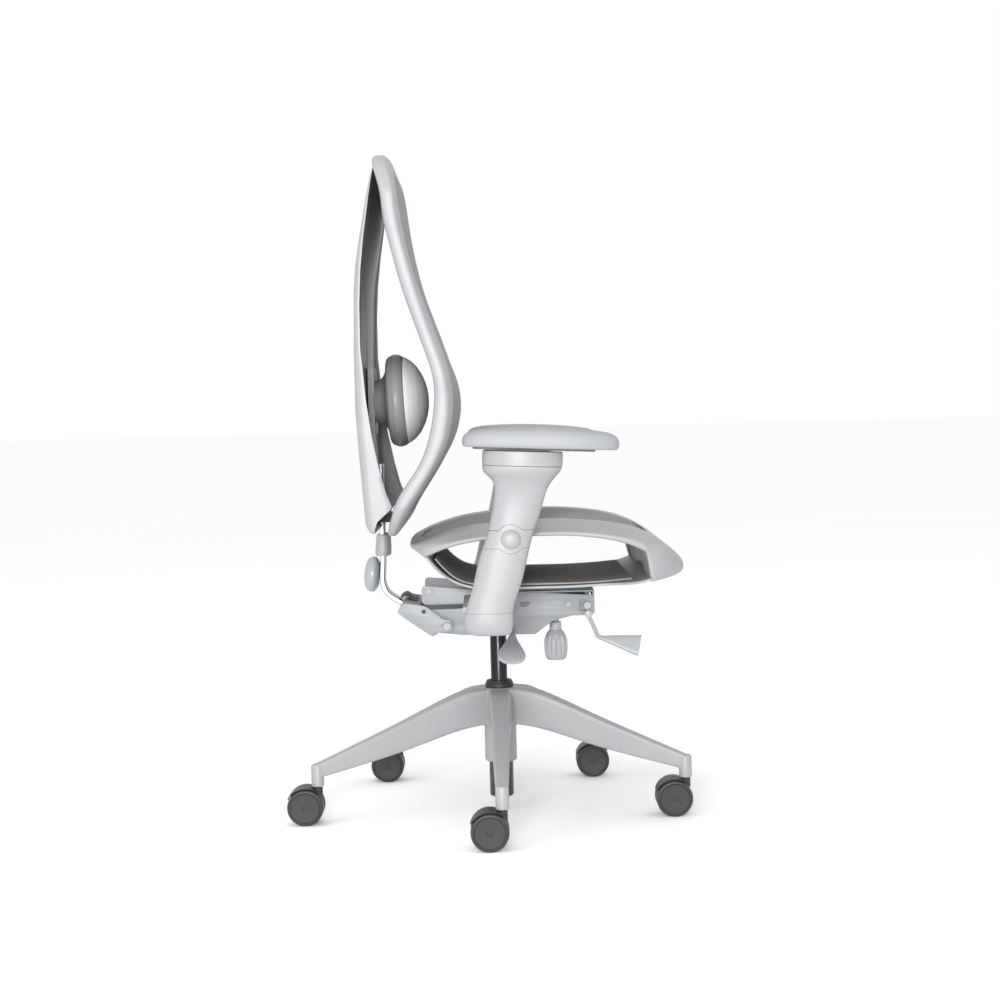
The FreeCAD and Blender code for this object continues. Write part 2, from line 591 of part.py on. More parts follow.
shell_rear = [
    (202, 491), (205, 504), (209, 566), (212.5, 618), (216, 682), (215.5, 776), (213, 867), (209, 911),
    (202, 952), (191, 1009), (182, 1056), (176.5, 1078),
]
shell_front = [
    (176, 1066), (180, 1052), (185, 1017), (195, 952), (201, 900), (204, 846), (204.5, 776), (202, 750),
    (198, 698), (190, 639), (179, 584), (170, 548), (161, 526), (178, 507), (190, 504),
]
flange_face = outline(side(shell_rear), side(shell_front[:13]), side([shell_front[12], shell_front[13]]),
                      side([shell_front[13], shell_front[14]]))
shell_plan = rounded_rect(-back_half, back_half, 484, 1080, 20, 78, lambda a, b: (a, 100, b))
inner_plan = rounded_rect(-back_half + 6, back_half - 6, 470, 1074, 14, 74, lambda a, b: (a, 90, b))
room_front = [(y - size("shell_thick"), z) for y, z in shell_rear]
room_face = outline(side(room_front), side([(120, 1078), (120, 480)]), side([(120, 480), room_front[0]]))
room = across(room_face, back_half + 5).common(inner_plan.extrude(FreeCAD.Vector(0, 200, 0)))
shell = across(flange_face, back_half + 5).common(shell_plan.extrude(FreeCAD.Vector(0, 200, 0)))
shell = shell.cut(room).cut(hoop)
notch = Part.makeBox(2 * back_half + 10, 8.5, 40, FreeCAD.Vector(-back_half - 5, 190.5, 484))
shell = shell.cut(notch)
for k in (-1, 1):
    track = Part.makeBox(4, 12, 200, FreeCAD.Vector(k * 46 - 2, 202, 600))
    shell = shell.fuse(track.common(across(flange_face, 60)))
keep(freeform("rear_shell", shell.removeSplitter()))

# ---------------------------------------------------------------- carrier that slides on the bar
carrier = Part.makeBox(84, 46, 14, FreeCAD.Vector(-42, 158, 493))
gap = size("slide_gap")
bar_room = Part.makeBox(2 * bar_half + 2 * gap, 2 * bar_depth + 2 * gap, 40,
                        FreeCAD.Vector(-bar_half - gap, 191 - bar_depth - gap, 480))
carrier = carrier.cut(bar_room).cut(hoop).cut(shell)
keep(freeform("back_carrier", max(carrier.Solids, key=lambda s: s.Volume)))
ratchet = Part.makeBox(48, 10, 20, FreeCAD.Vector(-24, 191 + bar_depth + gap, 507.2)).cut(shell)
keep(freeform("height_ratchet", max(ratchet.Solids, key=lambda s: s.Volume)))

# ---------------------------------------------------------------- lumbar pad on its slider
centre_z = size("lumbar_z")
pad_rim = size("lumbar_radius")


def dome(points, wide):
    """Turns (radius, y) points about the fore-aft axis at lumbar height and stretches the result sideways."""
    wire = Part.makePolygon([FreeCAD.Vector(0, y, r) for r, y in points + points[:1]])
    solid = Part.Face(wire).revolve(FreeCAD.Vector(0, 0, 0), FreeCAD.Vector(0, 1, 0), 360)
    stretch = FreeCAD.Matrix()
    stretch.A11 = wide
    solid = solid.transformGeometry(stretch)
    solid.rotate(FreeCAD.Vector(0, 140, 0), FreeCAD.Vector(1, 0, 0), -2.5)
    solid.translate(FreeCAD.Vector(0, 0, centre_z))
    return solid


wide = size("lumbar_wide")
cushion_line = [(0, 107), (14, 107.8), (28, 110.5), (42, 115.6), (56, 124), (67, 134.5), (73, 145), (0, 145)]
shell_line = [(0, 145), (73, 145), (pad_rim - 1, 152), (pad_rim, 160), (pad_rim - 3, 168), (70, 174), (62, 175.5),
              (50, 176.5), (41, 181), (36, 189), (34, 198), (0, 198)]
keep(freeform("lumbar_cushion", dome(cushion_line, wide)))
keep(freeform("lumbar_shell", dome(shell_line, wide)))
slider_back = Part.makeBox(84, 10, 110, FreeCAD.Vector(-42, 196.5, centre_z - 55))
keep(freeform("lumbar_slider", slider_back.cut(nodes["lumbar_shell"].Shape)))

# ---------------------------------------------------------------- levers and knobs under the seat
def lever(start, elbow, tip, spread, neck_wide, tip_wide, neck_thick, tip_thick):
    """A round rod from start to elbow and a flared paddle from there to tip, widest along spread."""
    a, b, c = vec(start), vec(elbow), vec(tip)
    stalk = Part.makeCylinder(3.5, (b - a).Length, a, b - a)
    along = (c - b).normalize()
    wide_way = vec(spread)
    wide_way = (wide_way - along * along.dot(wide_way)).normalize()
    thick_way = along.cross(wide_way)
    ends = []
    for spot, wide_by, thick_by in ((b, neck_wide, neck_thick), (c, tip_wide, tip_thick)):
        u, v = wide_way * (wide_by / 2), thick_way * (thick_by / 2)
        ends.append(Part.makePolygon([spot + u + v, spot - u + v, spot - u - v, spot + u - v, spot + u + v]))
    knuckle = Part.makeCylinder(4.6, neck_wide + 2, b - wide_way * (neck_wide / 2 + 1), wide_way)
    return stalk.fuse([Part.makeLoft(ends, True, True), knuckle])


keep(freeform("height_lever", lever(
    (-14, -24, 309.5), (-118, -24, 309.5), (-176, -21, 284), (0, 1, 0.05), 8, 42, 6, 8)))
front_boss = Part.makeCylinder(6.4, 9, FreeCAD.Vector(-99.5, -150, 336.5), FreeCAD.Vector(1, 0, 0))
front_boss = front_boss.fuse(Part.makeCylinder(2.5, 18, FreeCAD.Vector(-99.5, -150, 336.5), FreeCAD.Vector(1, 0, 0)))
front_lever = lever((-96, -153, 331), (-96, -167, 308), (-96, -231, 294), (0.55, 0, 1), 7, 46, 6, 8)
keep(freeform("seat_lever", front_boss.fuse(front_lever)))
barrel = turned("knob_barrel", [
    (0, 254), (15, 254), (17.5, 258), (19.5, 268), (19.8, 282), (18, 292), (14, 300), (10, 304), (10, 318),
    (6, 318), (6, 336), (0, 336),
])
flutes = []
for k in range(12):
    turn = math.radians(30 * k)
    flutes.append(rod("flute_%d" % (k + 1), 1.6, (20.6 * math.cos(turn), 20.6 * math.sin(turn), 274), (0, 0, 1), 44))
tension_knob = minus("tension_knob", barrel, joined("flutes", flutes))
tension_knob.Placement.Base = FreeCAD.Vector(-30, -97, 0)
keep(tension_knob)

# ---------------------------------------------------------------- arms
keep(freeform("arm_crossbar", Part.makeBox(2 * (size("arm_x") - size("arm_half_x") + 1), 32, 7,
                                           FreeCAD.Vector(-size("arm_x") + size("arm_half_x") - 1, 22, 365))))
column_sections = [
    (9, 330, 26, 12), (11.5, 333, 32, 16), (13, 341, 36, 19), (12.8, 365, 36.7, 20), (2, 400, 36.5, 20),
    (-13, 455, 37, 20), (-22, 480, 35.5, 20), (-30.5, 508, 38.5, 20), (-37.5, 538, 39.2, 21), (-41, 552, 41, 24),
    (-44.5, 566, 48.5, 31), (-43, 578, 60.5, 39), (-43.5, 596, 61.5, 40),
]
lean_turn = FreeCAD.Rotation(FreeCAD.Vector(1, 0, 0), size("arm_lean"))
pitch_turn = FreeCAD.Rotation(FreeCAD.Vector(1, 0, 0), size("pad_pitch"))
axis_point = FreeCAD.Vector(0, -20, 480)
head_point = FreeCAD.Vector(0, -43.5, 584)


def placed(shape, centre, turn):
    """Moves a shape built around its own origin to a leaning or pitched place on the arm."""
    shape = shape.copy()
    shape.Placement = FreeCAD.Placement(centre, turn)
    return shape


def slab(low_z, high_z):
    return Part.makeBox(200, 300, high_z - low_z, FreeCAD.Vector(-100, -150, low_z))


column = ellipse_loft(column_sections)
post_y, post_x = size("post_half_y"), size("post_half_x")
post = placed(Part.makeBox(2 * post_x, 2 * post_y, 165, FreeCAD.Vector(-post_x, -post_y, -112)), axis_point, lean_turn)
wide_x, wide_y = post_x + gap, post_y + gap
post_room = placed(Part.makeBox(2 * wide_x, 2 * wide_y, 300, FreeCAD.Vector(-wide_x, -wide_y, -116)),
                   axis_point, lean_turn)
above_head = placed(Part.makeBox(200, 300, 60, FreeCAD.Vector(-100, -150, 0)), head_point, pitch_turn)
pad_length, pad_width = size("pad_length"), size("pad_width")
button_line = [(0, 0), ("button_radius", 0), ("button_radius", 6), (13.5, 9.5), (8, 12), (0, 12.6)]

for tag, out in (("right", -1), ("left", 1)):
    shift = FreeCAD.Vector(out * size("arm_x"), 0, 0)
    outward = FreeCAD.Vector(out, 0, 0)
    island = Part.makeCylinder(22.5, 40, FreeCAD.Vector(out * 5, -20, 472), outward)
    island_room = Part.makeCylinder(22.9, 40, FreeCAD.Vector(out * 4.6, -20, 472), outward)
    button_room = Part.makeCylinder(size("button_radius") + 0.3, 40, FreeCAD.Vector(out * 10, -20, 472), outward)
    lower = column.common(slab(300, 461)).cut(post_room).cut(island_room)
    collar = column.common(slab(461.4, 480).fuse(island)).cut(post).cut(button_room)
    upper = column.common(slab(480.1, 620)).cut(island).cut(post).cut(above_head)
    head = ellipse_loft([(0, 0.1, 61.5, 40), (0, 14, 62, 40.5), (0, 22.6, 61, 40)])
    head = head.cut(Part.makeCylinder(8.05, 20, FreeCAD.Vector(0, 0, 10)))
    plate_face = rounded_rect(-30, 30, -112, 78, 26, 26, lambda a, b: (a, b, 23))
    pad_plate = plate_face.extrude(FreeCAD.Vector(0, 0, 4.2))
    pad_plate = pad_plate.fuse(Part.makeCylinder(8, 13, FreeCAD.Vector(0, 0, 11)))
    pad_plate = pad_plate.fuse(Part.makeBox(10, 80, 5, FreeCAD.Vector(-5, -60, 27)))
    pad_face = rounded_rect(-pad_width / 2, pad_width / 2, -pad_length / 2 - 27, pad_length / 2 - 27, 42, 42,
                            lambda a, b: (a, b, 27.6))
    pad = pad_face.extrude(FreeCAD.Vector(0, 0, 37))
    rim = [e for e in pad.Edges if min(v.Point.z for v in e.Vertexes) > 64]
    pad = pad.makeFillet(12, rim)
    pad = pad.cut(Part.makeBox(11, 180, 5.6, FreeCAD.Vector(-5.5, -118, 27)))
    pieces = [
        ("arm_lower_sleeve_", lower, shift, FreeCAD.Rotation()),
        ("arm_post_", post, shift, FreeCAD.Rotation()),
        ("arm_collar_", collar, shift, FreeCAD.Rotation()),
        ("arm_upper_sleeve_", upper, shift, FreeCAD.Rotation()),
        ("arm_head_", head, shift + head_point, pitch_turn),
        ("arm_pad_plate_", pad_plate, shift + head_point, pitch_turn),
        ("arm_pad_", pad, shift + head_point, pitch_turn),
    ]
    for stem_name, shape, spot, turn in pieces:
        if stem_name == "arm_post_":
            shape = shape.copy()
            shape.translate(shift)
            keep(freeform(stem_name + tag, shape))
        else:
            keep(freeform(stem_name + tag, shape, FreeCAD.Placement(spot, turn)))
    button = turned("arm_button_" + tag, button_line)
    button.Placement = FreeCAD.Placement(
        shift + FreeCAD.Vector(out * 13.6, -20, 472), FreeCAD.Rotation(FreeCAD.Vector(0, 0, 1), outward))
    keep(button)

# ---------------------------------------------------------------- recompute, check and export
doc.recompute()
for feature in doc.Objects:
    state = " ".join(feature.State)
    if "Invalid" in state or "Error" in state:
        raise RuntimeError("%s did not compute: %s" % (feature.Name, state))
for label, feature in sorted(nodes.items()):
    shape = feature.Shape
    if shape.isNull() or not shape.isValid() or not shape.Solids:
        raise RuntimeError("%s has no valid solid" % label)
    shape.exportStep("parts/%s.step" % label)
    bounds = shape.BoundBox
    print("%-24s %2d solid(s) %9.1f cm3  x %7.1f %7.1f  y %7.1f %7.1f  z %7.1f %7.1f" % (
        label, len(shape.Solids), shape.Volume / 1000.0, bounds.XMin, bounds.XMax, bounds.YMin, bounds.YMax,
        bounds.ZMin, bounds.ZMax))
print("%d sub-parts" % len(nodes))
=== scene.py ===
import math

import bmesh
import bpy
import numpy as np
from mathutils import Matrix, Vector


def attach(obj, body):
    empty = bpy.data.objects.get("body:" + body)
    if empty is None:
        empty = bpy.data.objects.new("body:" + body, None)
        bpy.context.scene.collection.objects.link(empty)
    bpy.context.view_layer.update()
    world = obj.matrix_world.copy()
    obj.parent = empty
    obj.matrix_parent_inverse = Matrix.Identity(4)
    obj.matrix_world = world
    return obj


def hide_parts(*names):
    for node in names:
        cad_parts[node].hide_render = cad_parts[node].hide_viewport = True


# Swivel office chair: moulded shells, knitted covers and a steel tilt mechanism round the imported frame.
# Sizes in the dictionaries are millimetres; the sitter faces -Y and the near side is -X.

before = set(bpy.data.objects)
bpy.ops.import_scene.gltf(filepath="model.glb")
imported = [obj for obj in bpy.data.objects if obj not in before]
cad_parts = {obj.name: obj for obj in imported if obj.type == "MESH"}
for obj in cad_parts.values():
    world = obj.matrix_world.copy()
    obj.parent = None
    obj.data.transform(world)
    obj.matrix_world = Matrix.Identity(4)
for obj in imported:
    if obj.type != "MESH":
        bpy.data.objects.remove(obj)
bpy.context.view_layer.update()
mm = 0.001
sides = {"right": -1, "left": 1}
print("frame loaded:", len(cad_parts), "nodes")


# surfaces worked out with arrays

def smoothCurve(points, count):
    # natural cubic spline through the points, its parameter the distance from point to point
    knots = np.asarray(points, float)
    step = np.linalg.norm(np.diff(knots, axis=0), axis=1)
    reach = np.concatenate([[0.0], np.cumsum(step)])
    last = len(knots) - 1
    matrix = np.eye(last + 1)
    bend = np.zeros_like(knots)
    inner = np.arange(1, last)
    slope = np.diff(knots, axis=0) / step[:, None]
    matrix[inner, inner - 1] = step[:-1]
    matrix[inner, inner] = 2 * (step[:-1] + step[1:])
    matrix[inner, inner + 1] = step[1:]
    bend[inner] = 6 * np.diff(slope, axis=0)
    moment = np.linalg.solve(matrix, bend)
    at = np.linspace(0, reach[-1], count)
    k = np.clip(np.searchsorted(reach, at, side="right") - 1, 0, last - 1)
    h = step[k][:, None]
    a = (reach[k + 1] - at)[:, None]
    b = (at - reach[k])[:, None]
    return (moment[k] * a ** 3 + moment[k + 1] * b ** 3) / (6 * h) + (
        knots[k] / h - moment[k] * h / 6) * a + (knots[k + 1] / h - moment[k + 1] * h / 6) * b


def lineAt(points, where, known=1, wanted=0):
    # reads one coordinate of a smooth line where its other coordinate has the given values
    dense = smoothCurve(points, 500)
    order = np.argsort(dense[:, known])
    return np.interp(where, dense[order, known], dense[order, wanted])


def softStep(x, low, high):
    t = np.clip((np.asarray(x, float) - low) / (high - low), 0, 1)
    return t * t * (3 - 2 * t)


def ovalLoop(count, power):
    # superellipse of half size one: power 2 is an ellipse and 8 nearly a box
    turn = np.linspace(0, 2 * np.pi, count, endpoint=False)
    c, s = np.cos(turn), np.sin(turn)
    return np.sign(c) * np.abs(c) ** (2 / power), np.sign(s) * np.abs(s) ** (2 / power)


def xyz(x, y, z):
    return np.stack(np.broadcast_arrays(x, y, z), -1)


def carried(path, wideWay, highWay, halfWide, halfHigh, power=2.5, count=32):
    # an oval profile carried along a path: each ring is path + wideWay * c * halfWide + highWay * s * halfHigh
    c, s = ovalLoop(count, power)
    path = np.asarray(path, float)
    wide = np.broadcast_to(np.asarray(halfWide, float), len(path))[:, None, None]
    high = np.broadcast_to(np.asarray(halfHigh, float), len(path))[:, None, None]
    wideWay = np.broadcast_to(np.asarray(wideWay, float), path.shape)[:, None, :]
    highWay = np.broadcast_to(np.asarray(highWay, float), path.shape)[:, None, :]
    return path[:, None, :] + wideWay * wide * c[None, :, None] + highWay * high * s[None, :, None]


def frames(path, sideways=(1, 0, 0)):
    # for a path in a plane across sideways: the second in-plane direction at each point
    along = np.gradient(np.asarray(path, float), axis=0)
    along /= np.linalg.norm(along, axis=1)[:, None]
    return np.cross(along, np.asarray(sideways, float))


def turned(profile, centre=(0, 0, 0), axis=(0, 0, 1), count=64, stretch=(1, 1)):
    # a profile of (radius, distance along the axis) turned about the axis
    profile = np.asarray(profile, float)
    way = np.asarray(Vector(axis).normalized())
    u = np.asarray(Vector(axis).orthogonal().normalized()) if abs(way[2]) < 0.99 else np.array([1.0, 0, 0])
    if abs(way[0]) < 1e-6 and abs(way[2]) < 0.99:
        u = np.array([1.0, 0, 0])
    v = np.cross(way, u)
    turn = np.linspace(0, 2 * np.pi, count, endpoint=False)[None, :, None]
    radius = profile[:, 0][:, None, None]
    return (np.asarray(centre, float) + way * profile[:, 1][:, None, None]
            + radius * (u * np.cos(turn) * stretch[0] + v * np.sin(turn) * stretch[1]))


def gridPiece(name, grids, looped=False, sharp=32):
    # grids are rings of points in millimetres; each ring closes, and the end rings are capped unless they loop
    points, faces = [], []
    first = 0
    for grid in grids:
        grid = np.asarray(grid, float)
        rows, cols = grid.shape[:2]
        index = first + np.arange(rows * cols).reshape(rows, cols)
        if looped:
            index = np.vstack([index, index[:1]])
        beside = np.roll(index, -1, axis=1)
        openEnds = not looped and not np.allclose(grid[0], grid[-1])
        faces += np.stack([index[:-1], beside[:-1], beside[1:], index[1:]], -1).reshape(-1, 4).tolist()
        for ring, spots in ((index[0][::-1], grid[0]), (index[-1], grid[-1])):
            if openEnds and np.ptp(spots, axis=0).max() > 0.01:
                faces.append(ring.tolist())
        points.append(grid.reshape(-1, 3) * mm)
        first += rows * cols
    return meshPiece(name, np.concatenate(points), faces, sharp)


def meshPiece(name, points, faces, sharp=32):
    mesh = bpy.data.meshes.new(name)
    mesh.from_pydata(points, [], faces)
    work = bmesh.new()
    work.from_mesh(mesh)
    bmesh.ops.remove_doubles(work, verts=work.verts, dist=2e-6)
    bmesh.ops.dissolve_degenerate(work, edges=work.edges, dist=1e-6)
    bmesh.ops.recalc_face_normals(work, faces=work.faces)
    work.to_mesh(mesh)
    work.free()
    mesh.shade_smooth()
    if sharp:
        mesh.set_sharp_from_angle(angle=math.radians(sharp))
    piece = bpy.data.objects.new(name, mesh)
    bpy.context.scene.collection.objects.link(piece)
    return piece


def flatSheet(name, grid, thick, sharp=0):
    # an open grid of points in millimetres, given an even thickness behind its face
    rows, cols = grid.shape[:2]
    index = np.arange(rows * cols).reshape(rows, cols)
    faces = np.stack([index[:-1, :-1], index[:-1, 1:], index[1:, 1:], index[1:, :-1]], -1).reshape(-1, 4)
    piece = meshPiece(name, grid.reshape(-1, 3) * mm, faces.tolist(), sharp)
    wall = piece.modifiers.new("Wall", "SOLIDIFY")
    wall.thickness = thick * mm
    wall.offset = 0
    wall.use_even_offset = True
    return piece


def softEdges(piece, width, segments=2, angle=28):
    edge = piece.modifiers.new("Edge", "BEVEL")
    edge.width = width * mm
    edge.segments = segments
    edge.limit_method = "ANGLE"
    edge.angle_limit = math.radians(angle)
    edge.harden_normals = True
    return piece


def cutPlate(name, outline, holes, start, thick, edge=0.6):
    # a flat curve of (y, z) outlines with holes, extruded along X with softened edges
    flat = bpy.data.curves.new(name + "Outline", "CURVE")
    flat.dimensions = "2D"
    flat.fill_mode = "BOTH"
    flat.extrude = (thick / 2 - edge) * mm
    flat.bevel_depth = edge * mm
    flat.bevel_resolution = 1
    flat.offset = -edge * mm
    for loop in [outline] + holes:
        loop = np.asarray(loop, float) * mm
        spline = flat.splines.new("POLY")
        spline.points.add(len(loop) - 1)
        spots = np.column_stack([loop, np.zeros(len(loop)), np.ones(len(loop))])
        spline.points.foreach_set("co", spots.ravel())
        spline.use_cyclic_u = True
    holder = bpy.data.objects.new(name + "Outline", flat)
    bpy.context.scene.collection.objects.link(holder)
    mesh = bpy.data.meshes.new_from_object(holder.evaluated_get(bpy.context.evaluated_depsgraph_get()))
    bpy.data.objects.remove(holder)
    mesh.transform(Matrix(((0, 0, 1, (start + thick / 2) * mm), (1, 0, 0, 0), (0, 1, 0, 0), (0, 0, 0, 1))))
    points = np.zeros(len(mesh.vertices) * 3)
    mesh.vertices.foreach_get("co", points)
    return points.reshape(-1, 3), [list(face.vertices) for face in mesh.polygons]


def arcs(corners, radius, steps=5):
    # a polygon with each corner turned into an arc of the given radius
    spots = np.asarray(corners, float)
    made = []
    for i, corner in enumerate(spots):
        back = spots[i - 1] - corner
        ahead = spots[(i + 1) % len(spots)] - corner
        reach = min(radius, 0.45 * np.linalg.norm(back), 0.45 * np.linalg.norm(ahead))
        a = corner + back / np.linalg.norm(back) * reach
        b = corner + ahead / np.linalg.norm(ahead) * reach
        t = np.linspace(0, 1, steps)[:, None]
        made.append(a * (1 - t) ** 2 + 2 * corner * t * (1 - t) + b * t ** 2)
    return np.concatenate(made)


def joinedMesh(name, parts, sharp=32):
    points, faces, first = [], [], 0
    for spots, loops in parts:
        points.append(spots)
        faces += [[first + i for i in loop] for loop in loops]
        first += len(spots)
    return meshPiece(name, np.concatenate(points), faces, sharp)


def settle(piece, body, slot, material, *standsFor):
    piece.data.materials.clear()
    piece.data.materials.append(material)
    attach(piece, body)
    if standsFor:
        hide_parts(*standsFor)
    return piece


# finishes: each starts from what the real surface is

def hexColour(code):
    # an sRGB hex value turned to the linear colour that the shader wants
    parts = np.array([int(code[i:i + 2], 16) / 255 for i in (1, 3, 5)])
    linear = np.where(parts <= 0.04045, parts / 12.92, ((parts + 0.055) / 1.055) ** 2.4)
    return [*linear.tolist(), 1.0]


def addNode(tree, kind, inputs=None, out=0, **settings):
    # one node with its settings; an input is a fixed value or the socket that feeds it
    node = tree.nodes.new(kind)
    for key, setting in settings.items():
        setattr(node, key, setting)
    for socket, source in (inputs or {}).items():
        if isinstance(source, bpy.types.NodeSocket):
            tree.links.new(source, node.inputs[socket])
        else:
            node.inputs[socket].default_value = source
    return node.outputs[out] if node.outputs else node


def startMaterial(name):
    # an empty material, its node tree, and the place on the object that all patterns read
    material = bpy.data.materials.new(name)
    material.use_nodes = True
    material.node_tree.nodes.clear()
    return material, material.node_tree, addNode(material.node_tree, "ShaderNodeTexCoord", out="Object")


def perMetre(sizeMm):
    # a noise pattern's scale for patches of about this size
    return 1 / (sizeMm * mm)


def coatedSurface(name, look):
    # moulded plastic or powder coat: soft clouds in the colour, fine grain in the surface, pale rubbed edges
    material, tree, place = startMaterial(name)
    clouds = addNode(tree, "ShaderNodeTexNoise", {"Vector": place, "Scale": perMetre(look["cloudMm"]),
                                                  "Detail": 3.0})
    clouds = addNode(tree, "ShaderNodeMapRange", {0: clouds, 1: 0.35, 2: 0.65, 3: 0.0, 4: 1.0})
    base = addNode(tree, "ShaderNodeMix", {0: clouds, 6: hexColour(look["colour"]), 7: hexColour(look["shift"])}, 2,
                   data_type="RGBA")
    edge = addNode(tree, "ShaderNodeNewGeometry", out="Pointiness")
    edge = addNode(tree, "ShaderNodeMapRange", {0: edge, 1: 0.52, 2: 0.60, 3: 0.0, 4: 1.0})
    base = addNode(tree, "ShaderNodeMix", {0: edge, 6: base, 7: hexColour(look["edge"])}, 2, data_type="RGBA")
    grain = addNode(tree, "ShaderNodeTexNoise", {"Vector": place, "Scale": perMetre(look["grainMm"]),
                                                 "Detail": 2.0})
    rough = addNode(tree, "ShaderNodeMapRange", {0: grain, 1: 0.3, 2: 0.7, 3: look["rough"] - look["roughSpread"],
                                                 4: look["rough"] + look["roughSpread"]})
    bump = addNode(tree, "ShaderNodeBump", {"Height": grain, "Strength": look["grainDeep"], "Distance": 0.0004})
    shader = addNode(tree, "ShaderNodeBsdfPrincipled", {"Base Color": base, "Roughness": rough, "Normal": bump,
                                                        "IOR": 1.5})
    addNode(tree, "ShaderNodeOutputMaterial", {0: shader})
    return material


def wovenSurface(name, look, across, along):
    # knitted mesh: two crossing ribs of yarn, each a sine wave, and dark where the holes between them are
    material, tree, place = startMaterial(name)
    ribs = []
    for axis, pitch in ((across, look["pitchAcross"]), (along, look["pitchAlong"])):
        spot = addNode(tree, "ShaderNodeSeparateXYZ", {0: place}, axis)
        spot = addNode(tree, "ShaderNodeMath", {0: spot, 1: 2 * math.pi / (pitch * mm)}, operation="MULTIPLY")
        wave = addNode(tree, "ShaderNodeMath", {0: spot}, operation="SINE")
        ribs.append(addNode(tree, "ShaderNodeMapRange", {0: wave, 1: -1.0, 2: 1.0, 3: 0.0, 4: 1.0}))
    weave = addNode(tree, "ShaderNodeMath", {0: ribs[0], 1: ribs[1]}, operation="MAXIMUM")
    clouds = addNode(tree, "ShaderNodeTexNoise", {"Vector": place, "Scale": perMetre(look["cloudMm"]),
                                                  "Detail": 3.0})
    yarn = addNode(tree, "ShaderNodeMix", {0: clouds, 6: hexColour(look["yarn"]),
                                           7: hexColour(look["yarnShift"])}, 2, data_type="RGBA")
    cover = addNode(tree, "ShaderNodeMapRange", {0: weave, 1: 0.25, 2: 0.8, 3: 0.0, 4: 1.0})
    base = addNode(tree, "ShaderNodeMix", {0: cover, 6: hexColour(look["hole"]), 7: yarn}, 2, data_type="RGBA")
    fuzz = addNode(tree, "ShaderNodeTexNoise", {"Vector": place, "Scale": perMetre(look["fuzzMm"]), "Detail": 2.0})
    rough = addNode(tree, "ShaderNodeMapRange", {0: fuzz, 1: 0.3, 2: 0.7, 3: 0.78, 4: 0.95})
    height = addNode(tree, "ShaderNodeMath", {0: fuzz, 1: 0.25, 2: weave}, operation="MULTIPLY_ADD")
    bump = addNode(tree, "ShaderNodeBump", {"Height": height, "Strength": look["deep"], "Distance": 0.0012})
    shader = addNode(tree, "ShaderNodeBsdfPrincipled", {"Base Color": base, "Roughness": rough, "Normal": bump,
                                                        "IOR": 1.46, "Sheen Weight": look["sheen"],
                                                        "Sheen Roughness": 0.4})
    addNode(tree, "ShaderNodeOutputMaterial", {0: shader})
    return material


def barMetal(name, look):
    # drawn and plated steel: fine streaks round the part and a little handling haze
    material, tree, place = startMaterial(name)
    stretched = addNode(tree, "ShaderNodeMapping", {0: place, "Scale": look["stretch"]})
    streaks = addNode(tree, "ShaderNodeTexNoise", {"Vector": stretched, "Scale": perMetre(look["streakMm"]),
                                                   "Detail": 3.0})
    haze = addNode(tree, "ShaderNodeTexNoise", {"Vector": place, "Scale": perMetre(look["hazeMm"]), "Detail": 2.0})
    base = addNode(tree, "ShaderNodeMix", {0: streaks, 6: hexColour(look["colour"]),
                                           7: hexColour(look["shift"])}, 2, data_type="RGBA")
    both = addNode(tree, "ShaderNodeMath", {0: streaks, 1: haze}, operation="MULTIPLY")
    rough = addNode(tree, "ShaderNodeMapRange", {0: both, 1: 0.1, 2: 0.5, 3: look["rough"] - 0.06,
                                                 4: look["rough"] + 0.1})
    bump = addNode(tree, "ShaderNodeBump", {"Height": streaks, "Strength": 0.08, "Distance": 0.0002})
    shader = addNode(tree, "ShaderNodeBsdfPrincipled", {"Base Color": base, "Roughness": rough, "Normal": bump,
                                                        "Metallic": 1.0})
    addNode(tree, "ShaderNodeOutputMaterial", {0: shader})
    return material


# glass-filled nylon, moulded with a fine spark texture: even light grey that scatters softly
# the real grain is 0.3 mm; it is drawn at 1.6 mm so that it still shows
paleNylon = coatedSurface("PaleGreyNylon", {
    "colour": "#929393", "shift": "#8e8f92", "edge": "#9b9b9d", "cloudMm": 70, "grainMm": 1.6, "grainDeep": 0.10,
    "rough": 0.42, "roughSpread": 0.05})
# acetal levers and knobs: the same grey, a touch cooler and smoother from polished tools
leverAcetal = coatedSurface("PaleGreyAcetal", {
    "colour": "#949699", "shift": "#909295", "edge": "#a3a4a7", "cloudMm": 40, "grainMm": 1.4, "grainDeep": 0.06,
    "rough": 0.34, "roughSpread": 0.05})
# powder-coated pressed steel: mid grey with a slight orange-peel, drawn at 2 mm
powderSteel = coatedSurface("GreyPowderCoatedSteel", {
    "colour": "#85878a", "shift": "#818386", "edge": "#949699", "cloudMm": 55, "grainMm": 2.0, "grainDeep": 0.16,
    "rough": 0.46, "roughSpread": 0.06})
# the same powder coat drawn a deeper grey on the lower housing, lift boss and torsion spring: painted shade for
# their place under the seat
shadedPowderSteel = coatedSurface("ShadedCopyGreyPowderCoat", {
    "colour": "#828486", "shift": "#7d7f82", "edge": "#919395", "cloudMm": 55, "grainMm": 2.0, "grainDeep": 0.16,
    "rough": 0.48, "roughSpread": 0.06})
# black enamel on drawn tube: deep, with soft upright highlights
blackEnamel = coatedSurface("BlackEnamelledSteel", {
    "colour": "#18181a", "shift": "#1e1e20", "edge": "#343435", "cloudMm": 45, "grainMm": 2.2, "grainDeep": 0.04,
    "rough": 0.28, "roughSpread": 0.05})
# black nylon for hidden keys and clips, moulded and matt
blackNylon = coatedSurface("BlackNylon", {
    "colour": "#161617", "shift": "#1d1d1e", "edge": "#303031", "cloudMm": 30, "grainMm": 1.5, "grainDeep": 0.10,
    "rough": 0.50, "roughSpread": 0.06})
# dark grey nylon of the plates under the pads, moulded and matt
slateNylon = coatedSurface("SlateGreyNylon", {
    "colour": "#4a4a4c", "shift": "#505052", "edge": "#626264", "cloudMm": 30, "grainMm": 1.5, "grainDeep": 0.10,
    "rough": 0.50, "roughSpread": 0.06})
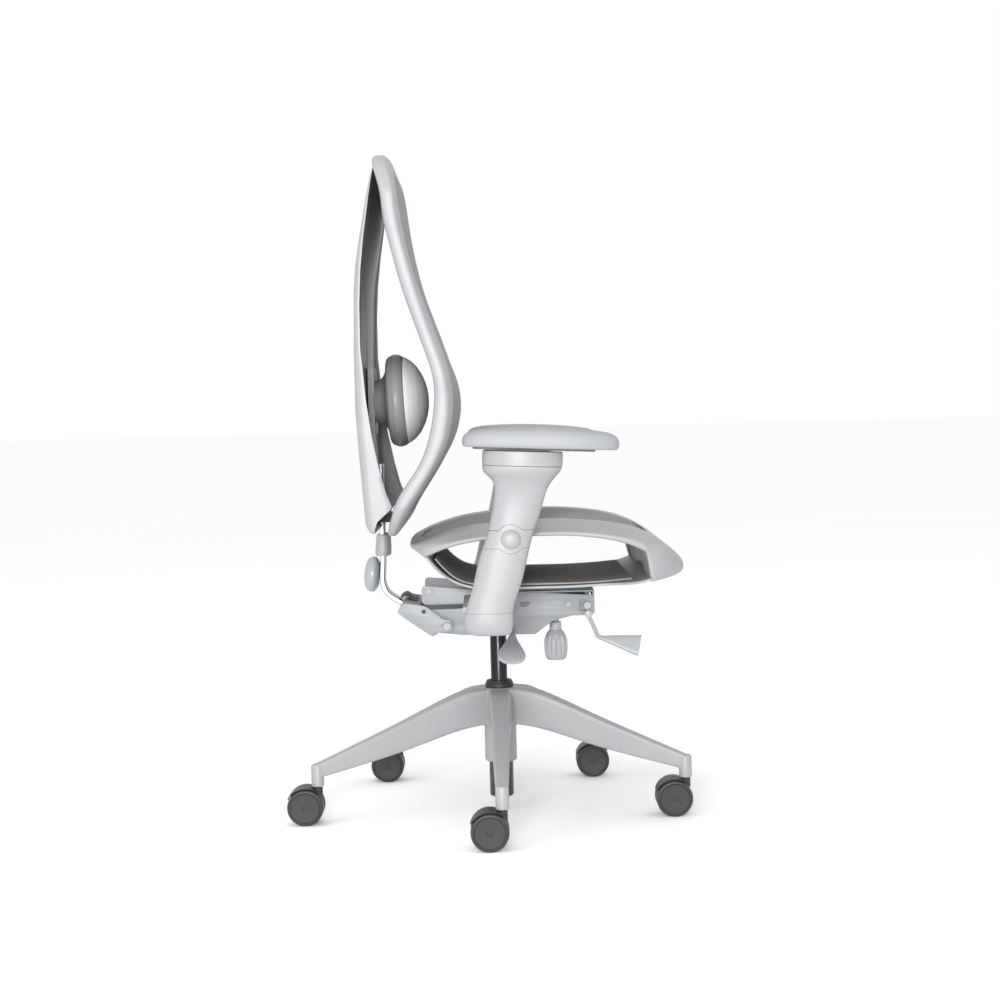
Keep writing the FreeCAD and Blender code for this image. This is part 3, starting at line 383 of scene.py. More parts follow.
# polyurethane caster tread and cover: charcoal with a faint sheen, scuffed on its edge
charcoalPlastic = coatedSurface("CharcoalPolyurethane", {
    "colour": "#222122", "shift": "#252425", "edge": "#363536", "cloudMm": 28, "grainMm": 1.6, "grainDeep": 0.08,
    "rough": 0.46, "roughSpread": 0.07})
# pressed felt-backed liner: dark warm grey, quite dull
panFelt = coatedSurface("PressedFeltLiner", {
    "colour": "#8d8986", "shift": "#95908d", "edge": "#a19d99", "cloudMm": 18, "grainMm": 1.2, "grainDeep": 0.35,
    "rough": 0.86, "roughSpread": 0.06})
# soft skinned polyurethane foam: pale, slightly cool, a leathery skin drawn at 2.4 mm
skinnedFoam = coatedSurface("SkinnedPolyurethaneFoam", {
    "colour": "#909194", "shift": "#8b8d91", "edge": "#989a9c", "cloudMm": 60, "grainMm": 2.4, "grainDeep": 0.16,
    "rough": 0.52, "roughSpread": 0.06})
# the lumbar pad's skinned foam, drawn far paler than its shell as painted light, to lift the shade that falls on it
# inside the backrest
litLumbarFoam = coatedSurface("LumbarFoamPaintedLight", {
    "colour": "#f0efef", "shift": "#eae9e9", "edge": "#f9f9f9", "cloudMm": 50, "grainMm": 2.4, "grainDeep": 0.18,
    "rough": 0.60, "roughSpread": 0.06})
# polyester knit, real wales 1.6 mm apart; drawn 2.6 mm apart so that they show
seatKnit = wovenSurface("SeatPolyesterKnit", {
    "yarn": "#716d6a", "yarnShift": "#6a6664", "hole": "#4a4745", "pitchAcross": 2.6, "pitchAlong": 3.2,
    "cloudMm": 22,
    "fuzzMm": 1.0, "sheen": 0.15, "deep": 0.35}, 0, 1)
backKnit = wovenSurface("BackPolyesterKnit", {
    "yarn": "#8b8785", "yarnShift": "#84807e", "hole": "#5e5b59", "pitchAcross": 2.6, "pitchAlong": 3.2,
    "cloudMm": 26,
    "fuzzMm": 1.0, "sheen": 0.15, "deep": 0.3}, 0, 2)
# zinc-plated steel: cool bright grey with drawing streaks
zincSteel = barMetal("ZincPlatedSteel", {
    "colour": "#b9bbbf", "shift": "#a6a9ae", "stretch": (1, 8, 8), "streakMm": 6, "hazeMm": 20, "rough": 0.34})
# black chrome on the lift cylinder: dark mirror with upright streaks
blackChrome = barMetal("BlackChromedSteel", {
    "colour": "#3a3a3c", "shift": "#303032", "stretch": (8, 8, 1), "streakMm": 5, "hazeMm": 24, "rough": 0.24})
print("finishes ready:", len(bpy.data.materials))


# base: five lofted legs on a turned hub

base = {
    "legs": 5, "firstTurn": 180, "stemCircle": 320, "start": 18, "end": 326, "squareness": 7,
    "over": [(18, 205), (60, 202.5), (98, 190), (134, 175), (175, 157.5), (222, 138.5), (275, 117.5), (326, 97.5)],
    "under": [(18, 145), (57, 141), (140, 119), (230, 96), (326, 75)],
    "half": [(18, 19), (60, 19.5), (100, 16.5), (200, 13), (326, 9.3)],
    "hub": [(20.6, 80), (25, 80), (27, 82.4), (27, 137), (28, 140), (32.6, 143.5), (34, 147), (34, 199), (33, 203),
            (30, 205.4), (27, 206), (20.6, 206)],
    "boss": [(5.6, 62), (9.6, 62), (10.5, 63.2), (10.5, 95.5), (9, 98.6), (5.5, 99.6), (0, 99.8)],
    "bore": [(5.6, 62), (5.6, 88), (0, 88)],
}


def makeBase():
    # a leg's section is a boxy oval between its upper and under line, its half width read along the leg
    out = np.linspace(base["start"], base["end"], 70)
    over = lineAt(base["over"], out, 0, 1)
    under = lineAt(base["under"], out, 0, 1)
    half = lineAt(base["half"], out, 0, 1)
    leg = carried(xyz(out, 0, (over + under) / 2), (0, 1, 0), (0, 0, 1), half, (over - under) / 2,
                  base["squareness"], 56)
    grids = [turned(base["hub"] + base["hub"][:1], count=96)]
    for k in range(base["legs"]):
        turn = math.radians(base["firstTurn"] + 360 / base["legs"] * k)
        c, s = math.cos(turn), math.sin(turn)
        grids.append(leg @ np.array([[c, s, 0], [-s, c, 0], [0, 0, 1]]))
        spot = (base["stemCircle"] * c, base["stemCircle"] * s, 0)
        grids.append(turned(base["bore"][::-1] + base["boss"], spot, count=40))
    piece = gridPiece("baseStar", grids)
    softEdges(piece, 0.9)
    settle(piece, "base", "light_plastic", paleNylon, "base_star")


makeBase()

lift = {
    "tube": [(0, 20), (18.5, 20), (20.3, 21.8), (20.3, 205.5), (14.2, 205.5), (14.2, 27), (0, 27)],
    "collar": [(14.2, 206.1), (23, 206.1), (24, 207.2), (24, 212.5), (22.6, 214), (21.6, 217.3), (20.8, 218),
               (14.2, 218)],
    "cylinder": [(0, 96), (12.5, 96), (14, 97.5), (14, 303), (13.2, 306), (13.2, 341), (12.4, 342), (0, 342)],
}


def makeLift():
    tube = gridPiece("gasOuterTube", [turned(lift["tube"], count=72)])
    settle(tube, "base", "black_steel", blackEnamel, "gas_outer_tube")
    collar = gridPiece("columnCollar", [turned(lift["collar"] + lift["collar"][:1], count=72)])
    settle(softEdges(collar, 0.4), "base", "black_plastic", blackNylon, "column_collar")
    cylinder = gridPiece("gasCylinder", [turned(lift["cylinder"], count=72)])
    settle(cylinder, "column", "black_steel", blackChrome, "gas_cylinder")


makeLift()
print("base and lift made")


# casters: a hooded fork over two rounded wheels

caster = {
    "trail": 20, "axleHigh": 30, "radius": 30, "inner": 5, "thick": 19.6,
    "hoodInner": 30.7, "hoodOuter": 32.9, "hoodHalf": 23.4, "hoodStart": 46, "hoodSweep": 112,
    "neck": [(0, 46), (8, 46), (8, 60.2), (6.8, 61.4), (5.4, 61.6), (5.4, 84.5), (4.2, 86), (0, 86)],
    "web": 3.9, "webRadius": 25.5, "axle": [(0, -7), (4, -7), (4, 7), (0, 7)],
    "rib": [(0, 4, 56.5), (0, 14, 59.5), (0, 22, 60.5)],
}


def wheelProfile(inner, outer):
    # tread with rounded shoulders, a shallow dished face and a cap ring
    radius, wide = caster["radius"], outer - inner
    return [(0, inner), (radius - 3, inner), (radius - 0.8, inner + 0.9), (radius, inner + 3),
            (radius, outer - 4.5), (radius - 0.7, outer - 2), (radius - 2.4, outer - 0.5), (radius - 4, outer),
            (radius - 5, outer - 0.2), (radius - 5.5, outer - 1.0), (radius - 6.1, outer - 0.2),
            (radius * 0.5, outer - 0.05 * wide * 0.5), (5, outer - 0.6), (4.4, outer - 1.4), (0, outer - 1.4)]


def makeCaster(number):
    turn = math.radians(base["firstTurn"] + 72 * (number - 1))
    x, y = base["stemCircle"] * math.cos(turn), base["stemCircle"] * math.sin(turn)
    axle = np.array([x, y + caster["trail"], caster["axleHigh"]])
    wheels = []
    for way in (-1, 1):
        profile = wheelProfile(caster["inner"], caster["inner"] + caster["thick"])
        wheels.append(turned(profile, axle, (way, 0, 0), 72))
    wheels.append(turned(caster["axle"], axle, (1, 0, 0), 24))
    settle(gridPiece("casterWheels%d" % number, wheels), "wheels_%d" % number, "charcoal_plastic",
           charcoalPlastic, "caster_wheels_%d" % number)
    # the hood is an arc band: an oval section, wide across the wheels, carried round the axle
    sweep = np.radians(np.linspace(caster["hoodStart"], caster["hoodStart"] + caster["hoodSweep"], 40))
    ring = (caster["hoodInner"] + caster["hoodOuter"]) / 2
    outward = xyz(0, -np.cos(sweep), np.sin(sweep))
    # its width falls away at both ends as the fourth root of a half sine
    taper = np.sqrt(np.clip(np.sin(np.linspace(0.04, math.pi - 0.04, 40)), 0.02, 1)) ** 0.5
    hood = carried(axle + outward * ring, (1, 0, 0), outward, caster["hoodHalf"] * taper,
                   (caster["hoodOuter"] - caster["hoodInner"]) / 2, 5, 40)
    web = turned([(0, -caster["web"]), (caster["webRadius"], -caster["web"]), (caster["webRadius"], caster["web"]),
                  (0, caster["web"])], axle, (1, 0, 0), 56)
    rib = carried(np.array(caster["rib"]) + [x, y, 0], (1, 0, 0), (0, 0, 1), 3.9, 3.2, 4, 24)
    housing = gridPiece("casterHousing%d" % number, [hood, web, rib, turned(caster["neck"], (x, y, 0), count=40)])
    settle(softEdges(housing, 0.3), "caster_%d" % number, "charcoal_plastic", charcoalPlastic,
           "caster_housing_%d" % number)


for number in range(1, base["legs"] + 1):
    makeCaster(number)
print("casters made")


# seat: a leaf-shaped ring and strap, open at both sides, with a knitted cover

seat = {
    "outer": [(0, 142), (110, 140), (190, 131), (238, 108), (262, 45), (264, -60), (262, -170), (250, -248),
              (205, -288), (110, -306), (0, -312)],
    "rim": [(134, 465), (96, 479), (55, 490), (0, 497), (-60, 500.5), (-120, 499.5), (-170, 494.5), (-215, 485),
            (-255, 467), (-285, 445), (-316, 413)],
    "roof": [(112, 447), (87, 460), (40, 473.5), (-30, 480), (-101, 481), (-163, 475), (-210, 463), (-237, 449)],
    "keel": [(-316, 409), (-262, 402), (-239, 399), (-180, 391), (-100, 388.5), (-37, 388.5), (40, 391), (70, 402),
             (93, 419), (110, 442), (132, 456)],
    "section": [(0.0, 0.0), (0.004, 0.35), (0.02, 0.8), (0.06, 1.0), (0.2, 1.0), (0.35, 1.0), (0.5, 1.0),
                (0.64, 1.0),
                (0.76, 1.0), (0.85, 0.995), (0.92, 0.97), (0.965, 0.90), (0.99, 0.78), (1.0, 0.62), (1.0, 0.42),
                (0.99, 0.24), (0.965, 0.11), (0.92, 0.03), (0.86, 0.0), (0.72, 0.0), (0.55, 0.0), (0.35, 0.0),
                (0.15, 0.0), (0.03, 0.0)],
    "openHalf": 171, "openFront": -249, "openRear": 123, "openPower": 4.2,
    "dropFrom": 200, "drop": 14,
    "strap": [(-246, 405), (-232, 400.5), (-180, 393.8), (-100, 391.2), (-37, 391.2), (38, 393.8), (67, 403.5),
              (90, 420.5), (106, 440), (115, 454)],
    "strapThick": 2.7, "strapHalf": 193, "strapFront": 240, "strapRear": 216,
    "pan": [(-216, 401.4), (-180, 398.6), (-100, 396.2), (-37, 396.2),
            (34, 398.4), (60, 406), (80, 421), (98, 441)],
    "panHalf": 187, "crown": 1.8, "coverThick": 2.6,
}


def makeSeatRing():
    # rings of the grid run round the opening; a column is one cross-section: in over the border, out over the top,
    # round the outer edge and back under. All heights come from the rim, roof and keel lines at that depth.
    # the opening and the outline are matched by their share of the way round, starting at the front middle
    c, s = ovalLoop(320, seat["openPower"])
    midY = (seat["openFront"] + seat["openRear"]) / 2
    inX, inY = seat["openHalf"] * c, midY + (seat["openRear"] - seat["openFront"]) / 2 * s
    half = smoothCurve(seat["outer"], 240)
    loop = np.concatenate([half, (half * [-1, 1])[::-1][1:-1]])
    angle = np.arctan2((loop[:, 1] - midY) / 230, loop[:, 0] / 264)
    order = np.argsort(angle)
    want = np.arctan2((inY - midY) / 230, inX / 264)
    outX = np.interp(want, angle[order], loop[order, 0], period=2 * np.pi)
    outY = np.interp(want, angle[order], loop[order, 1], period=2 * np.pi)
    section = np.array(seat["section"])
    share, lift = section[:, 0][:, None], section[:, 1][:, None]
    x = inX[None, :] + (outX - inX)[None, :] * share
    y = inY[None, :] + (outY - inY)[None, :] * share
    top = lineAt(seat["rim"], y, 0, 1) - seat["drop"] * softStep(np.abs(x), seat["dropFrom"], 262) ** 1.4
    roof = lineAt(seat["roof"], y, 0, 1)
    keel = lineAt(seat["keel"], y, 0, 1)
    inside = softStep(y, -243, -235) * (1 - softStep(y, 108, 116))
    low = keel + (roof - keel) * inside
    low = np.minimum(low - 0.25 * seat["drop"] * softStep(np.abs(x), seat["dropFrom"], 262) * inside, top - 1.5)
    z = low + (top - low) * lift
    return np.stack([x, y, z], -1)


def makeSeat():
    grid = makeSeatRing()
    ring = gridPiece("seatRing", [grid], looped=True, sharp=50)
    path = smoothCurve(seat["strap"], 90)
    along = np.linspace(0, 1, 90)
    wide = seat["strapHalf"] + (seat["strapFront"] - seat["strapHalf"]) * (1 - softStep(along, 0.0, 0.2)) + (
        seat["strapRear"] - seat["strapHalf"]) * softStep(along, 0.82, 1.0)
    centre = xyz(0, path[:, 0], path[:, 1])
    strap = carried(centre, (1, 0, 0), frames(centre), wide, seat["strapThick"], 9, 90)
    strapPiece = gridPiece("seatStrap", [strap], sharp=40)
    settle(ring, "seat", "light_plastic", paleNylon, "seat_frame")
    settle(strapPiece, "seat", "light_plastic", paleNylon)
    path = smoothCurve(seat["pan"], 100)
    centre = xyz(0, path[:, 0], path[:, 1])
    pan = carried(centre, (1, 0, 0), frames(centre), seat["panHalf"], 1.6, 12, 90)
    settle(gridPiece("panLiner", [pan], sharp=40), "seat", "pan_liner", panFelt, "seat_pan")


def makeSeatCover():
    # the cover's grid goes out from the middle by a share of the opening; it crowns by the share's cosine
    share = np.linspace(0, 1, 60)[:, None] * 1.016
    c, s = ovalLoop(240, seat["openPower"])
    midY = (seat["openFront"] + seat["openRear"]) / 2
    x = seat["openHalf"] * c * share
    y = midY + (seat["openRear"] - seat["openFront"]) / 2 * s * share
    rim = lineAt(seat["rim"], y, 0, 1)
    tuck = softStep(share, 0.93, 1.016)
    z = rim - 1.6 + seat["crown"] * np.cos(np.clip(share, 0, 1) * math.pi / 2) ** 0.8 - 2.4 * tuck
    face = np.stack([x, y, z], -1)
    rows, cols = face.shape[:2]
    index = np.arange(rows * cols).reshape(rows, cols)
    beside = np.roll(index, -1, axis=1)
    faces = np.stack([index[:-1], index[1:], beside[1:], beside[:-1]], -1).reshape(-1, 4)
    piece = meshPiece("seatKnitCover", face.reshape(-1, 3) * mm, faces.tolist(), 0)
    wall = piece.modifiers.new("Wall", "SOLIDIFY")
    wall.thickness = seat["coverThick"] * mm
    wall.offset = -1
    settle(piece, "seat", "seat_knit", seatKnit, "seat_fabric")


makeSeat()
makeSeatCover()
print("seat made")


# backrest: a bowed front rail, a straight rear shell and a knitted cover

back = {
    "front": [(149, 487), (143, 502), (123, 537), (92.3, 585), (71.3, 631), (62.1, 682), (64.1, 726), (77, 773),
              (93.1, 820), (115, 883), (130.5, 946), (137.3, 985), (142.5, 1024), (146.2, 1055), (148.4, 1070),
              (150, 1086)],
    "border": [(160, 484), (152, 506), (131.5, 539), (101.1, 585), (79.4, 631), (71, 682), (73.8, 726), (86.6, 773),
               (102.6, 820), (121.2, 883), (137.4, 946), (144.9, 985), (149.3, 1024), (156, 1055), (160, 1070),
               (163, 1086)],
    "rear": [(173, 480), (165, 508), (153.5, 539), (122.3, 585), (102.2, 631), (92.2, 682), (91.8, 726),
             (104.6, 773),
             (120.6, 820), (140.7, 883), (156.2, 946), (164.4, 985), (168.5, 1024), (176.5, 1055), (180, 1070),
             (181.5, 1086)],
    # (inset, depth share), where share 0 is the front line, 1 the border and 2 the rear line
    "section": [(24, 0.35), (22.6, 0.1), (20, 0.0), (17, 0.02), (12.5, 0.14), (8.5, 0.32), (5, 0.52), (2.3, 0.74),
                (0.6, 0.93), (0.0, 1.08), (0, 1.35), (0.3, 1.62), (1.3, 1.82), (3.2, 1.95), (6, 2.0), (12, 2.0),
                (18, 2.0), (22.6, 1.98), (24, 1.9), (24, 1.5), (24, 1.0), (24, 0.6)],
    "half": 235, "low": 479, "high": 1086, "lowCorner": 52, "highCorner": 70, "innerInset": 24,
    "coverStand": 2.4, "crown": 10, "crownZ": 680, "crownReach": 130, "coverThick": 2.4,
}


def roundedLoop(plan, inset, count):
    # a rounded rectangle across the back, drawn in by inset and walked at an even pace; gives x and z
    half, low, high = max(plan["half"] - inset, 2), plan["low"] + inset, plan["high"] - inset
    corners = []
    for wayX, wayZ, radius, start in ((1, 1, plan["highCorner"], 0), (-1, 1, plan["highCorner"], 90),
                                      (-1, -1, plan["lowCorner"], 180), (1, -1, plan["lowCorner"], 270)):
        radius = min(max(radius - inset, 3), half)
        turn = np.radians(np.linspace(start, start + 90, 24))
        edge = high if wayZ > 0 else low
        corners.append(np.stack([wayX * (half - radius) + radius * np.cos(turn),
                                 edge - wayZ * radius + radius * np.sin(turn)], -1))
    loop = np.concatenate(corners + [corners[0][:1]])
    reach = np.concatenate([[0], np.cumsum(np.linalg.norm(np.diff(loop, axis=0), axis=1))])
    at = np.linspace(0, reach[-1], count, endpoint=False)
    return np.stack([np.interp(at, reach, loop[:, i]) for i in (0, 1)], -1)


def makeRail():
    # each ring is the plan drawn in by its inset, at its share of the depth between the three lines
    rows = []
    for inset, depth in back["section"]:
        loop = roundedLoop(back, inset, 400)
        front, border, rear = (lineAt(back[key], loop[:, 1], 1, 0) for key in ("front", "border", "rear"))
        y = front + (border - front) * min(depth, 1) + (rear - border) * max(depth - 1, 0)
        rows.append(np.stack([loop[:, 0], y, loop[:, 1]], -1))
    piece = gridPiece("frontRail", [np.array(rows)], looped=True, sharp=46)
    settle(piece, "backrest", "light_plastic", paleNylon, "front_frame")


def makeBackCover():
    # a stretched sheet at the rail's front line, crowned forward at the waist by a cosine bump
    half = back["half"] - back["innerInset"] + 1.5
    across = np.sin(np.linspace(-math.pi / 2, math.pi / 2, 60)) * half
    up = np.linspace(0, 1, 150)
    low, high = back["low"] + 26, back["high"] - 22
    z = low + (high - low) * up
    corner = np.minimum(1, np.sqrt(np.clip(1 - ((z - (high - 46)) / 46).clip(0) ** 2, 0, 1)))
    corner = half - 46 + 46 * corner
    corner = np.where(z < low + 28, half - 28 + 28 * np.sqrt(np.clip(1 - ((low + 28 - z) / 28).clip(0) ** 2, 0, 1)),
                      corner)
    x = across[None, :] / half * corner[:, None]
    bump = np.cos(np.clip((z - back["crownZ"]) / back["crownReach"], -1, 1) * math.pi / 2) ** 2
    spread = 1 - (across / half) ** 2
    y = (lineAt(back["front"], z, 1, 0) + back["coverStand"])[:, None]
    y = y - back["crown"] * bump[:, None] * spread[None, :]
    piece = flatSheet("backKnitCover", xyz(x, y, z[:, None]), back["coverThick"])
    settle(piece, "backrest", "back_knit", backKnit, "back_fabric")


shellPlan = {
    "rear": [(202, 491), (205, 504), (209, 566), (212.5, 618), (216, 682), (215.5, 776), (213, 867), (209, 911),
             (202, 952), (191, 1009), (182, 1056), (176.5, 1078)],
    "flange": [(190, 491), (186, 504), (161, 526), (170, 548), (179, 584), (190, 639), (198, 698), (202, 750),
               (204.5, 776), (204, 846), (201, 900), (195, 952), (185, 1017), (180, 1052), (176.2, 1078)],
    "half": 235, "low": 486, "high": 1079, "lowCorner": 8, "highCorner": 78, "wall": 4.2,
    "round": 13, "relief": 2.2,
}


def shellLine(key, z):
    # plain reading between the listed points, because the flange turns back on itself at its foot
    points = np.asarray(shellPlan[key], float)
    return np.interp(z, points[:, 1], points[:, 0])


def makeRearShell():
    # rows run from the middle of the panel outwards, round an elliptical corner, along the side wall to its lip,
    # and back along the inside; the corner's depth shrinks where the side wall is low
    wall, bend = shellPlan["wall"], shellPlan["round"]
    relief = shellPlan["relief"]
    outside = [(228, -relief), (180, -relief), (120, -relief), (84, -relief), (76, -relief * 0.75),
               (68, -relief * 0.25),
               (60, 0), (40, 0), (24, 0)]
    rows = [shellRow(inset, "flat", shift, 1) for inset, shift in outside]
    corner = np.radians(np.linspace(90, 0, 9))
    rows += [shellRow(bend * (1 - math.cos(t)), "corner", math.sin(t), 1) for t in corner]
    rows += [shellRow(0, "side", share, 1) for share in (0.7, 0.35, 0.06)]
    rows += [shellRow(1.2, "side", 0, 1), shellRow(wall - 1.2, "side", 0, 1), shellRow(wall, "side", 0.06, 1)]
    rows += [shellRow(wall, "side", share, 1) for share in (0.35, 0.7)]
    rows += [shellRow(wall + (bend - wall) * (1 - math.cos(t)), "corner", math.sin(t), 0) for t in corner[::-1]]
    rows += [shellRow(inset, "flat", shift, 0) for inset, shift in outside[::-1]]
    piece = gridPiece("rearShell", [np.array(rows)], sharp=46)
    settle(piece, "backrest", "light_plastic", paleNylon, "rear_shell")


def shellRow(inset, part, amount, outer):
    # one ring of the shell: its plan drawn in by inset, its depth read from the flange and rear lines
    loop = roundedLoop(shellPlan, inset, 420)
    flange, rear = shellLine("flange", loop[:, 1]), shellLine("rear", loop[:, 1])
    deep = np.maximum(rear - flange, 0.5)
    bend = np.minimum(shellPlan["round"], 0.8 * deep)
    wall = 0 if outer else np.minimum(shellPlan["wall"], 0.6 * deep)
    if part == "flat":
        y = rear + amount - wall
    elif part == "corner":
        y = rear - bend + np.maximum(bend - wall, 0.2) * amount
    else:
        y = flange + (rear - bend - flange) * amount
    return np.stack([loop[:, 0], y, loop[:, 1]], -1)


makeRail()
makeBackCover()
makeRearShell()
print("backrest made")


# lumbar pad: a soft dome on a hard shell with a short neck

lumbar = {
    "soft": [(0, 107), (8, 107.2), (16, 108), (28, 110.6), (42, 115.8), (56, 124), (65, 132.5), (70.5, 140),
             (72.6, 144.6),
             (71, 145.4), (40, 145.4), (0, 145.4)],
    "hard": [(0, 145.6), (72.6, 145.6), (74.6, 147.6), (76.6, 151.5), (77.8, 157), (77.6, 161.5), (76.2, 165),
             (75.4, 166),
             (75.6, 167.2), (73.4, 171), (69.4, 173.8), (66, 174.6), (64.8, 173.9), (63.6, 174.8), (56, 176),
             (48, 178),
             (42, 181.4), (38.4, 185.6), (36.2, 191), (35, 197.4), (0, 197.4)],
    "high": 697, "wide": 1.3, "tilt": -2.5, "pivotY": 140,
}


def lumbarGrid(profile):
    # turned about the fore-and-aft way, drawn out sideways, then tipped about its rim
    grid = turned(smoothProfile(profile), (0, 0, 0), (0, 1, 0), 120, (lumbar["wide"], 1))
    turn = math.radians(lumbar["tilt"])
    y, z = grid[..., 1] - lumbar["pivotY"], grid[..., 2]
    return np.stack([grid[..., 0], lumbar["pivotY"] + y * math.cos(turn) - z * math.sin(turn),
                     lumbar["high"] + y * math.sin(turn) + z * math.cos(turn)], -1)


def smoothProfile(points, steps=3):
    # adds points between the listed ones along straight runs, so that shading stays even
    points = np.asarray(points, float)
    at = np.linspace(0, len(points) - 1, (len(points) - 1) * steps + 1)
    return np.stack([np.interp(at, np.arange(len(points)), points[:, i]) for i in (0, 1)], -1)


def makeLumbar():
    soft = gridPiece("lumbarCushion", [lumbarGrid(lumbar["soft"])], sharp=60)
    # the cushion's near-white colour is painted light that lifts the shade inside the backrest
    settle(soft, "lumbar", "lumbar_foam", litLumbarFoam, "lumbar_cushion")
    hard = gridPiece("lumbarShell", [lumbarGrid(lumbar["hard"])], sharp=40)
    settle(hard, "lumbar", "light_plastic", paleNylon, "lumbar_shell")


makeLumbar()


# arms: leaning oval columns in three sleeves, a head and a foam pad

arm = {
    "x": 305, "power": 2.35, "inside": 0.80,
    "sections": [(9, 330, 26, 12), (11.5, 333, 32, 16), (13, 341, 36, 19), (12.8, 365, 36.7, 20),
                 (2, 400, 36.5, 20),
                 (-13, 456, 37, 20), (-22, 484, 35.8, 20), (-30.5, 512, 37.4, 20), (-37.5, 540, 39, 21),
                 (-41, 556, 41.6, 24), (-44.2, 570, 48.5, 31), (-44, 578, 56, 36.4), (-43.6, 584.5, 60.6, 39.4),
                 (-43.6, 592, 61.4, 40), (-43.6, 604, 61.5, 40)],
    "seams": (464, 492), "gap": 0.45, "button": (-23, 478.4), "island": 22.7, "capGroove": 0.9,
    "headY": -43.8, "headZ": 590, "pitch": 2.8, "headRim": 61.5, "headHalf": 40,
    "buttonLine": [(0, -0.2), (15.6, -0.2), (15.8, 0.8), (15.7, 4.4), (15.0, 6.4), (13.2, 8.8), (10, 10.9),
                   (6, 12.1), (0, 12.6)],
    "drum": [(30, 0.2), (0.5, 0.2), (0, 0.7), (-0.3, 7), (-0.5, 14), (-0.3, 19), (0.2, 21.8), (1.2, 22.6),
             (30, 22.6)],
    "padHalf": 47, "padLong": 120.5, "padShift": -27, "padPower": 2.75,
    "pad": [(46, 27.3), (20, 27.3), (5, 27.4), (2.4, 28.3), (0.9, 30.4), (0.2, 33.6), (0, 37.5), (0.2, 41.5),
            (1.0, 46),
            (2.4, 49.8), (4.8, 53), (8.2, 55.6), (13, 57.6), (19, 58.7), (27, 59.3), (36, 59.5), (46, 59.6)],
    "padDrop": 7.5,
    "plateHalf": 29, "plateLong": 94, "plateShift": -17,
    "plate": [(6, 24.3), (1, 24.4), (0.2, 24.8), (0, 25.4), (0, 27), (0.4, 27.2), (6, 27.2)],
}


columnLine = smoothCurve(arm["sections"], 600)
columnLine[:, 1] = np.maximum.accumulate(columnLine[:, 1])


def columnRing(z, inset=0.0, scale=1.0):
    # one closed oval of the column; z may differ from point to point round the ring
    # the listed sections are joined by a smooth line, read off at each height
    c, s = ovalLoop(192, arm["power"])
    z = np.broadcast_to(z, c.shape)
    centre, depth, width = (np.interp(z, columnLine[:, 1], columnLine[:, i]) for i in (0, 2, 3))
    return np.stack([s * (width * scale - inset), centre + c * (depth * scale - inset), z], -1)


def seamLine(side, base, way, radius):
    # the seam keeps its level, and goes round the button on the outer face
    c, s = ovalLoop(192, arm["power"])
    level = np.full(c.shape, float(base))
    for _ in range(3):
        ring = columnRing(level)
        off = ring[:, 1] - arm["button"][0]
        arch = arm["button"][1] + way * np.sqrt(np.clip(radius ** 2 - off ** 2, 0, None))
        outer = (s * side > 0) & (np.abs(off) < radius)
        arched = np.maximum(base, arch) if way > 0 else np.minimum(base, arch)
        level = np.where(outer, arched, base)
    return level


def movedArm(rings, side):
    grid = np.array(rings)
    grid[..., 0] += side * arm["x"]
    return grid


def pitched(grid, side):
    # from the head's own level frame to its nose-down place on the arm
    turn = math.radians(arm["pitch"])
    y, z = grid[..., 1], grid[..., 2]
    return np.stack([grid[..., 0] + side * arm["x"], arm["headY"] + y * math.cos(turn) - z * math.sin(turn),
                     arm["headZ"] + y * math.sin(turn) + z * math.cos(turn)], -1)


